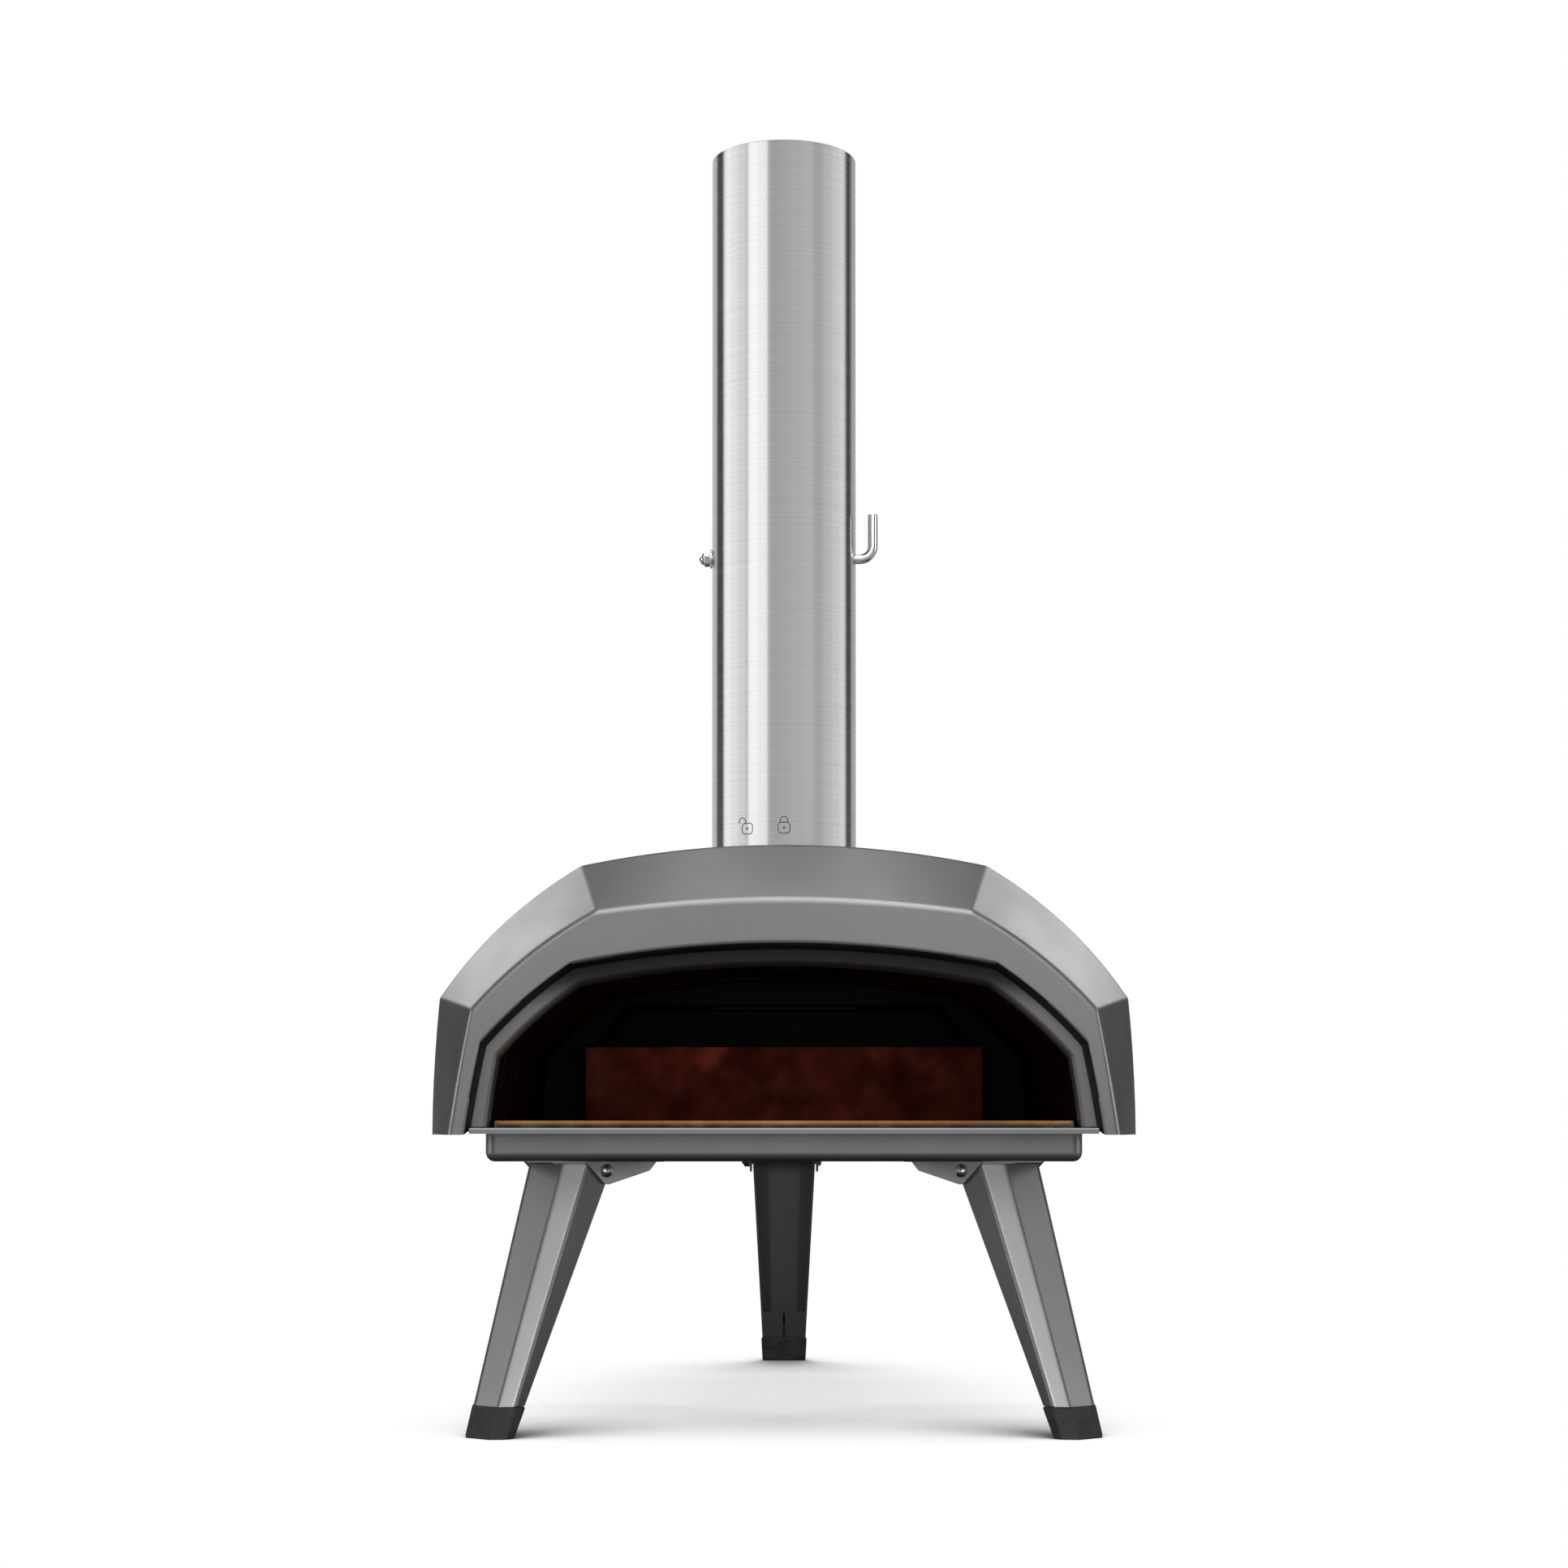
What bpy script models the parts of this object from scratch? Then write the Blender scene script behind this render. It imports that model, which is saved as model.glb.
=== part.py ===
"""Portable wood fired pizza oven: faceted steel shell on three folding legs, bayonet chimney with a
butterfly damper, drop-in baking stone, rear firebox with a pull-out fuel tray and a lift-off hatch.

Metres, +Z up. The mouth faces -Y. The floor is z = 0 and the plan is centred on the origin.
"""

import math

import bmesh
import bpy
from mathutils import Matrix, Vector

# ---------------------------------------------------------------- driving dimensions, metres
RIDGE_Y = -0.2875          # plane of the hood's widest section; depths below are measured from it
GAP = 0.0003               # air between pieces that touch
SHEET = 0.0016             # shell and hood sheet
FOOT_Z = 0.173             # bottom edge of the hood and shell
SEAT_Z = 0.1773            # liner, frame and firebox stand at this height
BEND = 0.003               # bend radius of the sheet-metal corners

# Arched sections: half-width and height of each corner, crown height, and how far the sides bulge.
RIDGE = dict(foot=(0.200, FOOT_Z), side=(0.196, 0.2505), shoulder=(0.1153, 0.3262), crown=0.3382,
             side_bow=0.0009, shoulder_bow=0.0062)
LIP = dict(foot=(0.186, FOOT_Z), side=(0.1733, 0.2428), shoulder=(0.1037, 0.2971), crown=0.3043,
           side_bow=0.0005, shoulder_bow=0.0040)
FACE = dict(foot=(0.1766, FOOT_Z), side=(0.1679, 0.2235), shoulder=(0.1185, 0.2675), crown=0.2789,
            side_bow=0.0004, shoulder_bow=0.0021)
RETURN = dict(FACE, foot=(0.1766, SEAT_Z))
MOUTH = dict(foot=(0.1665, SEAT_Z), side=(0.1606, 0.2168), shoulder=(0.1145, 0.2576), crown=0.2688,
             side_bow=0.0004, shoulder_bow=0.0021)
LINER = dict(foot=(0.1722, SEAT_Z), side=(0.1690, 0.2225), shoulder=(0.1215, 0.2670), crown=0.2800,
             side_bow=0.0004, shoulder_bow=0.0021)
REAR = dict(foot=(0.184, FOOT_Z), side=(0.176, 0.244), shoulder=(0.108, 0.302), crown=0.312,
            side_bow=0.0008, shoulder_bow=0.0045)

LIP_DEPTH = -0.045         # front face
HOOD_BACK = 0.012          # hood laps over the shell to here
SHELL_KNEE = 0.360         # shell runs straight to here, then tapers
SHELL_BACK = 0.434
REAR_PLATE = 0.4305
LINER_BACK = 0.4285

PAN_HALF = 0.167
PAN_BOTTOM = 0.158
PAN_TOP = 0.1745
PAN_FRONT = -0.030
PAN_KNEE = 0.430
PAN_BACK = 0.515

STONE_HALF = 0.1625
STONE_FRONT = -0.0265
STONE_TOP = 0.1808
STONE_THICK = 0.010

FLUE_DEPTH = 0.163
FLUE_R = 0.045             # chimney outside
FLUE_WALL = 0.001
FLUE_BASE = 0.345
FLUE_TOP = 0.784
SPIGOT_R = 0.0437
SPIGOT_BORE = 0.0425
SPIGOT_TOP = 0.385
TWIST = 32.0               # bayonet, degrees
LUG_Z = 0.3635

DAMPER_Z = 0.533
ROD_R = 0.003
DAMPER_PLATE_R = 0.0415
HANDLE_X = 0.0557
HANDLE_TOP = 0.561

LEG_TOP = 0.1558
LEG_LOW = 0.018
LEG_CLOSED = 0.038         # below this the channel's flanges turn in
LEG_SHEET = 0.0015
LEG_SPLAY = 0.3664         # run per unit of height
LEG_FIT = (0.150, 0.018)   # heights at which the next four pairs are stated
LEG_WEB = (0.0254, 0.0187)
LEG_CHAMFER = (0.0142, 0.0097)
LEG_FLANGE = (0.0220, 0.0083)
PIVOT_Z = 0.1515
PIVOT_BACK = 0.027         # pivot behind the web's outer face
PIVOT_R = 0.0025
PIVOT_HOLE = 0.00265
FRONT_LEG = (0.1403, 0.050)
FRONT_TURN = 38.0          # front legs point outward this far from straight ahead
REAR_LEG_DEPTH = 0.507
EAR_IN = 0.0234            # clevis ears, from the leg's centre plane
EAR_SHEET = 0.0015

BOX_HALF = 0.138           # firebox
BOX_FRONT = 0.372
BOX_BACK = 0.561
GUARD_TOP = 0.232
TRAY_HALF = 0.120
TRAY_FRONT = 0.379
HATCH = (0.055, 0.460, 0.534)


# ---------------------------------------------------------------- scene, materials and bookkeeping
for old in list(bpy.data.objects):
    bpy.data.objects.remove(old)

MATERIALS = {}


def material(name, colour, metallic, roughness):
    made = bpy.data.materials.new(name)
    made.use_nodes = True
    shader = made.node_tree.nodes["Principled BSDF"]
    shader.inputs["Base Color"].default_value = (*colour, 1.0)
    shader.inputs["Metallic"].default_value = metallic
    shader.inputs["Roughness"].default_value = roughness
    made.diffuse_color = (*colour, 1.0)
    MATERIALS[name] = made


material("powder_coat", (0.16, 0.16, 0.165), 0.1, 0.5)
material("brushed_steel", (0.62, 0.62, 0.63), 1.0, 0.32)
material("liner_steel", (0.30, 0.27, 0.25), 0.9, 0.45)
material("bright_steel", (0.75, 0.75, 0.76), 1.0, 0.2)
material("rubber", (0.03, 0.03, 0.03), 0.0, 0.8)
material("baking_stone", (0.68, 0.58, 0.45), 0.0, 0.9)
material("ceramic_wool", (0.85, 0.84, 0.80), 0.0, 0.95)


def finish_mesh(mesh_builder, name, slot):
    """Turns a bmesh into a named object whose faces look outward."""
    bmesh.ops.remove_doubles(mesh_builder, verts=mesh_builder.verts, dist=1e-6)
    bmesh.ops.recalc_face_normals(mesh_builder, faces=mesh_builder.faces)
    if mesh_builder.calc_volume(signed=True) < 0:
        bmesh.ops.reverse_faces(mesh_builder, faces=mesh_builder.faces)
    mesh = bpy.data.meshes.new(name)
    mesh_builder.to_mesh(mesh)
    mesh_builder.free()
    made = bpy.data.objects.new(name, mesh)
    bpy.context.scene.collection.objects.link(made)
    if slot:
        mesh.materials.append(MATERIALS[slot])
    return made


def combine(target, others, operation):
    """Joins or cuts solids with exact Booleans, then drops the helpers."""
    for other in others:
        other.hide_render = True
        other.display_type = "WIRE"
        step = target.modifiers.new(operation.title(), "BOOLEAN")
        step.operation = operation
        step.solver = "EXACT"
        step.object = other
    bpy.context.view_layer.update()
    graph = bpy.context.evaluated_depsgraph_get()
    mesh = bpy.data.meshes.new_from_object(target.evaluated_get(graph))
    target.modifiers.clear()
    target.data = mesh
    for other in others:
        bpy.data.objects.remove(other)
    return target


def cut(target, *others):
    return combine(target, others, "DIFFERENCE")


def join(target, *others):
    return combine(target, others, "UNION")


def hang_on(pivot_name, place, *objects):
    """Parents objects to an empty that stands on their joint's axis."""
    pivot = bpy.data.objects.new(pivot_name, None)
    pivot.location = place
    bpy.context.scene.collection.objects.link(pivot)
    for part in objects:
        part.data.transform(Matrix.Translation(-Vector(place)))
        part.parent = pivot
    return pivot


# ---------------------------------------------------------------- outlines
def bowed(a, b, bow, fractions):
    """Points from a to b that bulge to the right of travel by bow at mid-length."""
    along = b - a
    side = Vector((along.y, -along.x)).normalized()
    return [a + along * t + side * (4 * bow * t * (1 - t)) for t in fractions]


def soft_corner(before, corner, after):
    return before * 0.25 + corner * 0.5 + after * 0.25


def arch(shape, inset=0.0):
    """(x, z) points of an arched section, from the left foot over the crown to the right foot."""
    foot, side, shoulder = (Vector(shape[key]) for key in ("foot", "side", "shoulder"))
    rise = shape["crown"] - shoulder.y
    trim_low = BEND / (side - foot).length
    trim_mid = BEND / (shoulder - side).length
    trim_top = BEND / shoulder.x
    lower = bowed(foot, side, shape["side_bow"], (0.0, 0.5, 1 - trim_low))
    spread = [trim_mid + (1 - 2 * trim_mid) * i / 5 for i in range(6)]
    middle = bowed(side, shoulder, shape["shoulder_bow"], spread)
    upper = []
    for i in range(6):
        x = shoulder.x * (1 - trim_top) * (1 - i / 6)
        upper.append(Vector((x, shape["crown"] - rise * (x / shoulder.x) ** 2)))
    right = lower + [soft_corner(lower[-1], side, middle[0])] + middle
    right += [soft_corner(middle[-1], shoulder, upper[0])] + upper
    left = [Vector((-p.x, p.y)) for p in right]
    path = left + [Vector((0.0, shape["crown"]))] + right[::-1]
    return shifted(path, inset) if inset else path


def shifted(path, inset):
    """An open path moved inward (to the right of travel), with its two feet kept at their height."""
    moved = []
    for i, here in enumerate(path):
        ahead = (path[min(i + 1, len(path) - 1)] - here).normalized()
        behind = (here - path[max(i - 1, 0)]).normalized()
        normals = [Vector((d.y, -d.x)) for d in (ahead, behind) if d.length > 0.5]
        mean = sum(normals, Vector((0.0, 0.0))).normalized()
        moved.append(here + mean * (inset / max(0.5, mean.dot(normals[0]))))
    moved[0].y = path[0].y
    moved[-1].y = path[-1].y
    return moved


def blend(a, b, t):
    """A section between two others."""
    mixed = {}
    for key, value in a.items():
        if isinstance(value, tuple):
            mixed[key] = tuple(p + (q - p) * t for p, q in zip(value, b[key]))
        else:
            mixed[key] = value + (b[key] - value) * t
    return mixed


def ring(shape, depth, inset=0.0):
    return [Vector((p.x, RIDGE_Y + depth, p.y)) for p in arch(shape, inset)]


def rounded(points, radii, steps=3):
    """A closed outline with each corner of non-zero radius replaced by an arc of points."""
    out = []
    for i, corner in enumerate(points):
        corner = Vector(corner)
        radius = radii[i] if isinstance(radii, (list, tuple)) else radii
        if radius == 0:
            out.append(corner)
            continue
        before = (Vector(points[i - 1]) - corner).normalized()
        after = (Vector(points[(i + 1) % len(points)]) - corner).normalized()
        half = before.angle(after) / 2
        reach = radius / math.tan(half)
        start, end = corner + before * reach, corner + after * reach
        centre = corner + (before + after).normalized() * (radius / math.sin(half))
        for k in range(steps + 1):
            mid = start.lerp(end, k / steps) - centre
            out.append(centre + mid.normalized() * radius)
    return out


def grown(points, by):
    """A closed anticlockwise outline moved outward by a distance (inward when negative)."""
    out = []
    for i, here in enumerate(points):
        here = Vector(here)
        first = (here - Vector(points[i - 1])).normalized()
        second = (Vector(points[(i + 1) % len(points)]) - here).normalized()
        n1, n2 = Vector((first.y, -first.x)), Vector((second.y, -second.x))
        mean = (n1 + n2).normalized()
        out.append(here + mean * (by / mean.dot(n1)))
    return out


# ---------------------------------------------------------------- solids
def skin(name, outside, inside, slot):
    """A bent sheet from its outer rings and its inner rings, both listed from the same end."""
    build = bmesh.new()
    outer = [[build.verts.new(p) for p in points] for points in outside]
    inner = [[build.verts.new(p) for p in points] for points in inside]
    loop = outer + inner[::-1]
    for a, b in zip(loop, loop[1:] + loop[:1]):
        for i in range(len(a) - 1):
            build.faces.new((a[i], a[i + 1], b[i + 1], b[i]))
    for end in (0, -1):
        close_foot(build, [row[end] for row in outer], [row[end] for row in inner])
    return finish_mesh(build, name, slot)


def close_foot(build, outer, inner):
    """Fills the narrow strip between the two edge lines at a sheet's foot."""
    i = j = 0
    while i < len(outer) - 1 or j < len(inner) - 1:
        far = 1e9
        step_out = (outer[i + 1].co - inner[j].co).length if i < len(outer) - 1 else far
        step_in = (outer[i].co - inner[j + 1].co).length if j < len(inner) - 1 else far
        if step_out <= step_in:
            build.faces.new((outer[i], outer[i + 1], inner[j]))
            i += 1
        else:
            build.faces.new((outer[i], inner[j + 1], inner[j]))
            j += 1


def loft(name, outlines, slot):
    """A solid through closed outlines of equal length, with flat ends."""
    build = bmesh.new()
    rows = [[build.verts.new(p) for p in points] for points in outlines]
    for a, b in zip(rows, rows[1:]):
        for i in range(len(a)):
            j = (i + 1) % len(a)
            build.faces.new((a[i], a[j], b[j], b[i]))
    build.faces.new(rows[0][::-1])
    build.faces.new(rows[-1])
    return finish_mesh(build, name, slot)


def slab(name, outline, frame, low, high, slot=None):
    """An outline (p, q) pushed from low to high along the third of three frame directions."""
    origin, across, up, normal = (Vector(v) for v in frame)
    ends = []
    for level in (low, high):
        ends.append([origin + across * p[0] + up * p[1] + normal * level for p in outline])
    return loft(name, ends, slot)


def box(name, low, high, slot=None):
    """A block between two corners, each (x, depth, z)."""
    outline = [(low[0], low[1]), (high[0], low[1]), (high[0], high[1]), (low[0], high[1])]
    return slab(name, outline, plan_frame(), low[2], high[2], slot)


def plan_frame():
    return ((0, RIDGE_Y, 0), (1, 0, 0), (0, 1, 0), (0, 0, 1))


def turned(name, profile, origin, axis, slot=None, segments=32, phase=0.0):
    """A (radius, height) profile turned about an axis: a loop, or closed by points on the axis."""
    axis = Vector(axis).normalized()
    across = axis.orthogonal().normalized() if abs(axis.z) < 0.9 else Vector((1, 0, 0))
    up = axis.cross(across)
    build = bmesh.new()
    rows = []
    for radius, height in profile:
        centre = Vector(origin) + axis * height
        if radius == 0:
            rows.append([build.verts.new(centre)])
            continue
        row = []
        for i in range(segments):
            angle = phase + 2 * math.pi * i / segments
            row.append(build.verts.new(
                centre + (across * math.cos(angle) + up * math.sin(angle)) * radius))
        rows.append(row)
    pairs = list(zip(rows, rows[1:]))
    if profile[0][0] > 0:
        pairs.append((rows[-1], rows[0]))
    for a, b in pairs:
        for i in range(segments):
            j = (i + 1) % segments
            corners = [a[i % len(a)], a[j % len(a)], b[j % len(b)], b[i % len(b)]]
            build.faces.new(list(dict.fromkeys(corners)))
    return finish_mesh(build, name, slot)


def rod_of(start, end, radius, name="rod", slot=None, segments=24):
    along = Vector(end) - Vector(start)
    profile = [(0, 0), (radius, 0), (radius, along.length), (0, along.length)]
    return turned(name, profile, start, along, slot, segments)


def bent_rod(name, corners, radius, bend, slot, segments=14, steps=6):
    """A round rod along a path whose corners are bent to a radius, with chamfered ends."""
    points = [Vector(corners[0])]
    for before, here, after in zip(corners, corners[1:], corners[2:]):
        here = Vector(here)
        back = (Vector(before) - here).normalized()
        ahead = (Vector(after) - here).normalized()
        half = back.angle(ahead) / 2
        reach = bend / math.tan(half)
        centre = here + (back + ahead).normalized() * (bend / math.sin(half))
        first = (here + back * reach - centre).normalized()
        last = (here + ahead * reach - centre).normalized()
        for k in range(steps + 1):
            points.append(centre + first.slerp(last, k / steps) * bend)
    points.append(Vector(corners[-1]))
    tip = radius * 0.3
    start_dir = (points[1] - points[0]).normalized()
    end_dir = (points[-1] - points[-2]).normalized()
    path = [(points[0], radius - tip, start_dir), (points[0] + start_dir * tip, radius, start_dir)]
    for a, b, c in zip(points, points[1:], points[2:]):
        path.append((b, radius, ((b - a).normalized() + (c - b).normalized()).normalized()))
    path += [(points[-1] - end_dir * tip, radius, end_dir), (points[-1], radius - tip, end_dir)]
    side = start_dir.orthogonal().normalized()
    outlines = []
    for centre, size, along in path:
        side = (side - along * side.dot(along)).normalized()
        up = along.cross(side)
        turn = [2 * math.pi * i / segments for i in range(segments)]
        outlines.append([centre + (side * math.cos(a) + up * math.sin(a)) * size for a in turn])
    return loft(name, outlines, slot)


# ---------------------------------------------------------------- hood, mouth frame, shell
def build_hood():
    slope = [ring(blend(RIDGE, LIP, t), LIP_DEPTH * t) for t in (0.05, 0.35, 0.65, 0.96)]
    outside = [ring(RIDGE, HOOD_BACK), ring(RIDGE, 0.002)] + slope
    outside += [ring(LIP, LIP_DEPTH + 0.0004, 0.0006), ring(LIP, LIP_DEPTH, 0.0020)]
    outside += [ring(FACE, LIP_DEPTH, -0.0022), ring(FACE, LIP_DEPTH + 0.0006, -0.0006)]
    outside += [ring(RETURN, LIP_DEPTH + 0.0030, 0.0006), ring(RETURN, -0.0342, 0.0026)]
    inside = [ring(RIDGE, HOOD_BACK, SHEET), ring(RIDGE, 0.0020, SHEET)]
    inside += [ring(blend(RIDGE, LIP, 0.05), LIP_DEPTH * 0.05 + 0.0008, SHEET)]
    inside += [ring(blend(RIDGE, LIP, 0.90), LIP_DEPTH * 0.90, SHEET)]
    inside += [ring(LIP, LIP_DEPTH + SHEET, 0.0024), ring(FACE, LIP_DEPTH + SHEET, -0.0026)]
    inside += [ring(RETURN, LIP_DEPTH + 0.0030, -0.0008), ring(RETURN, -0.0342, 0.0012)]
    return skin("front_hood", outside, inside, "powder_coat")


def build_mouth_frame():
    outside = [ring(RETURN, -0.0336, -0.0040), ring(MOUTH, -0.0336, -0.0022)]
    outside += [ring(MOUTH, -0.0332, -0.0007), ring(MOUTH, -0.0318), ring(MOUTH, -0.018)]
    inside = [ring(RETURN, -0.0324, -0.0040), ring(MOUTH, -0.0322, -0.0024)]
    inside += [ring(MOUTH, -0.0312, -0.0012), ring(MOUTH, -0.018, -0.0012)]
    return skin("mouth_frame", outside, inside, "powder_coat")


def with_floor_flange(points, edge, height):
    """Adds an inward flange along the bottom of a section."""
    ends = (points[0], points[-1])
    first, last = (Vector((math.copysign(edge, p.x), p.y, height)) for p in ends)
    low, high = (Vector((p.x, p.y, height)) for p in ends)
    return [first, low] + points[1:-1] + [high, last]


def build_shell():
    lap = SHEET + GAP
    flange = 0.1755
    places = ((RIDGE, HOOD_BACK - 0.009), (RIDGE, SHELL_KNEE * 0.5), (RIDGE, SHELL_KNEE - 0.004),
              (blend(RIDGE, REAR, 0.03), SHELL_KNEE + 0.001), (REAR, SHELL_BACK))
    outside, inside = [], []
    for shape, depth in places:
        outside.append(with_floor_flange(ring(shape, depth, lap), flange, PAN_TOP))
        inner = ring(shape, depth, lap + SHEET)
        inside.append(with_floor_flange(inner, flange, PAN_TOP + SHEET))
    shell = skin("outer_shell", outside, inside, "powder_coat")
    hole = rod_of(flue_point(0.30), flue_point(0.36), SPIGOT_R + 2 * GAP, segments=64)
    return cut(shell, hole)


def build_rear_plate():
    shape = dict(REAR, foot=(0.184, PAN_TOP + SHEET + GAP))
    outline = [(p.x, p.y) for p in arch(shape, 2 * SHEET + 3 * GAP)]
    frame = ((0, RIDGE_Y, 0), (1, 0, 0), (0, 0, 1), (0, 1, 0))
    plate = slab("rear_plate", outline, frame, REAR_PLATE, REAR_PLATE + SHEET, "powder_coat")
    window = slab("window", firebox_outline(-0.0015), frame, 0.42, 0.44)
    return cut(plate, window)


def flue_point(height):
    return (0, RIDGE_Y + FLUE_DEPTH, height)


# ---------------------------------------------------------------- liner, insulation, floor
def build_liner():
    outside = [ring(MOUTH, -0.0175, -0.0016), ring(LINER, -0.0175, -0.0012)]
    outside += [ring(LINER, LINER_BACK, -0.0012)]
    inside = [ring(MOUTH, -0.0163, -0.0016), ring(LINER, -0.0163), ring(LINER, LINER_BACK)]
    liner = skin("oven_liner", outside, inside, "liner_steel")
    hole = rod_of(flue_point(0.26), flue_point(0.30), SPIGOT_R + 2 * GAP, segments=64)
    return cut(liner, hole)


def build_insulation():
    shape = dict(LINER, foot=(0.1722, 0.180))
    outside = [ring(shape, 0.020, -0.0142), ring(shape, 0.355, -0.0142)]
    inside = [ring(shape, 0.020, -0.0022), ring(shape, 0.355, -0.0022)]
    wool = skin("insulation_blanket", outside, inside, "ceramic_wool")
    hole = rod_of(flue_point(0.26), flue_point(0.32), 0.0465, segments=48)
    return cut(wool, hole)


def plan_level(outline, height):
    return [Vector((p[0], RIDGE_Y + p[1], height)) for p in outline]


def build_pan():
    half, neck = PAN_HALF, 0.100
    plan = [(-half, PAN_FRONT), (half, PAN_FRONT), (half, 0.0016), (half, 0.0022),
            (half, PAN_KNEE), (neck, PAN_BACK), (-neck, PAN_BACK), (-half, PAN_KNEE),
            (-half, 0.0022), (-half, 0.0016)]
    wide, narrow = 0.181, half + 0.007
    rim = [(-wide, -0.0413), (wide, -0.0413), (wide, 0.0016), (narrow, 0.0022),
           (narrow, PAN_KNEE + 0.002), (neck + 0.003, PAN_BACK + 0.007),
           (-neck - 0.003, PAN_BACK + 0.007), (-narrow, PAN_KNEE + 0.002),
           (-narrow, 0.0022), (-wide, 0.0016)]
    radii = [0.006, 0.006, 0, 0, 0.02, 0.012, 0.012, 0.02, 0, 0]
    flat = [0.002, 0.002, 0, 0, 0.02, 0.014, 0.014, 0.02, 0, 0]

    def level(inset, height):
        return plan_level(grown(rounded(plan, radii), -inset), height)

    rim_low = plan_level(rounded(rim, flat), PAN_TOP)
    rim_high = plan_level(rounded(rim, flat), PAN_TOP + 0.0012)
    levels = [level(0.0040, PAN_BOTTOM), level(0.0020, PAN_BOTTOM + 0.0005),
              level(0.0005, PAN_BOTTOM + 0.0020), level(0.0, PAN_BOTTOM + 0.0040),
              level(0.0, PAN_TOP), rim_low, rim_high, level(0.0015, PAN_TOP + 0.0012),
              level(0.0015, PAN_BOTTOM + 0.0045), level(0.0030, PAN_BOTTOM + 0.0022),
              level(0.0045, PAN_BOTTOM + 0.0015)]
    return loft("base_pan", levels, "powder_coat")


def build_sill():
    plate = box("sill_plate", (-0.1743, -0.0432, 0.1760), (0.1743, LINER_BACK, 0.1770), "powder_coat")
    lip = box("lip", (-0.1743, -0.0436, 0.1736), (0.1743, -0.0424, 0.1770))
    plate = join(plate, lip)
    window = box("window", (-0.164, -0.028, 0.17), (0.164, 0.300, 0.18))
    return cut(plate, window)


def build_stone():
    bottom = STONE_TOP - STONE_THICK
    back = STONE_FRONT + 2 * STONE_HALF
    square = [(-STONE_HALF, STONE_FRONT), (STONE_HALF, STONE_FRONT), (STONE_HALF, back),
              (-STONE_HALF, back)]
    edge = 0.0008
    inner = rounded(grown(square, -edge), 0.004)
    outer = rounded(square, 0.004)
    levels = [plan_level(inner, bottom), plan_level(outer, bottom + edge),
              plan_level(outer, STONE_TOP - edge), plan_level(inner, STONE_TOP)]
    stone = loft("baking_stone", levels, "baking_stone")
    rests = []
    for side, word in ((-1, "left"), (1, "right")):
        a, b = sorted((side * 0.128, side * 0.140))
        rests.append(box("stone_rest_" + word, (a, -0.015, PAN_BOTTOM + 0.0018),
                         (b, 0.285, bottom - GAP), "liner_steel"))
    hang_on("stone_lift_origin", (0, RIDGE_Y + STONE_FRONT + STONE_HALF, bottom), stone)
    return stone, rests


# ---------------------------------------------------------------- chimney and damper
def roof_height(x):
    """Top of the shell above a half-width x, beside the flue."""
    rise = RIDGE["crown"] - RIDGE["shoulder"][1]
    return RIDGE["crown"] - SHEET - GAP - rise * (x / RIDGE["shoulder"][0]) ** 2


def build_collar():
    """A saddle flange on the roof, a shoulder for the chimney and a spigot with L-shaped slots."""
    count = 64
    rows = [(0.0600, 1, GAP), (0.0600, 1, GAP + 0.0012), (0.0490, 1, GAP + 0.0012),
            (0.0470, 1, GAP + 0.0030), (0.0465, 0, FLUE_BASE - GAP - 0.0004),
            (0.0461, 0, FLUE_BASE - GAP), (SPIGOT_R, 0, FLUE_BASE - GAP),
            (SPIGOT_R, 0, SPIGOT_TOP), (SPIGOT_BORE, 0, SPIGOT_TOP), (SPIGOT_BORE, 0, 0.2765),
            (SPIGOT_R, 0, 0.2765), (SPIGOT_R, 1, -0.0030), (SPIGOT_R + 0.0015, 1, GAP)]
    rows[-1] = (SPIGOT_R + 0.0001, 1, GAP)
    build = bmesh.new()
    loops = []
    for radius, on_roof, height in rows:
        loop = []
        for i in range(count):
            angle = 2 * math.pi * i / count
            x = radius * math.cos(angle)
            z = height + (roof_height(x) if on_roof else 0.0)
            loop.append(build.verts.new((x, RIDGE_Y + FLUE_DEPTH + radius * math.sin(angle), z)))
        loops.append(loop)
    for a, b in zip(loops, loops[1:] + loops[:1]):
        for i in range(count):
            j = (i + 1) % count
            build.faces.new((a[i], a[j], b[j], b[i]))
    collar = finish_mesh(build, "chimney_collar", "brushed_steel")
    cutters = []
    for start in lug_angles():
        sweep = [start - 4 + (TWIST + 8) * k / 6 for k in range(7)]
        edge = [polar(0.0410, a) for a in sweep] + [polar(0.0450, a) for a in sweep[::-1]]
        cutters.append(slab("groove", edge, flue_frame(), LUG_Z - 0.003, LUG_Z + 0.003))
        mouth = [start + TWIST - 4, start + TWIST + 4]
        edge = [polar(0.0410, a) for a in mouth] + [polar(0.0455, a) for a in mouth[::-1]]
        cutters.append(slab("entry", edge, flue_frame(), LUG_Z, SPIGOT_TOP + 0.002))
    cut(collar, *cutters)
    rivets = []
    for k in range(4):
        x, y = polar(0.0545, 45 + 90 * k)
        base = roof_height(x) + 2 * GAP + 0.0014
        profile = [(0, 0), (0.0026, 0), (0.0026, 0.0005), (0.0018, 0.0014), (0, 0.0018)]
        place = (x, RIDGE_Y + FLUE_DEPTH + y, base)
        rivets.append(turned(f"collar_rivet_{k + 1}", profile, place, (0, 0, 1),
                             "bright_steel", 12))
    return collar, rivets


def lug_angles():
    return (30.0, 150.0, 270.0)


def polar(radius, degrees):
    return (radius * math.cos(math.radians(degrees)), radius * math.sin(math.radians(degrees)))


def flue_frame():
    return ((0, RIDGE_Y + FLUE_DEPTH, 0), (1, 0, 0), (0, 1, 0), (0, 0, 1))


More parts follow.
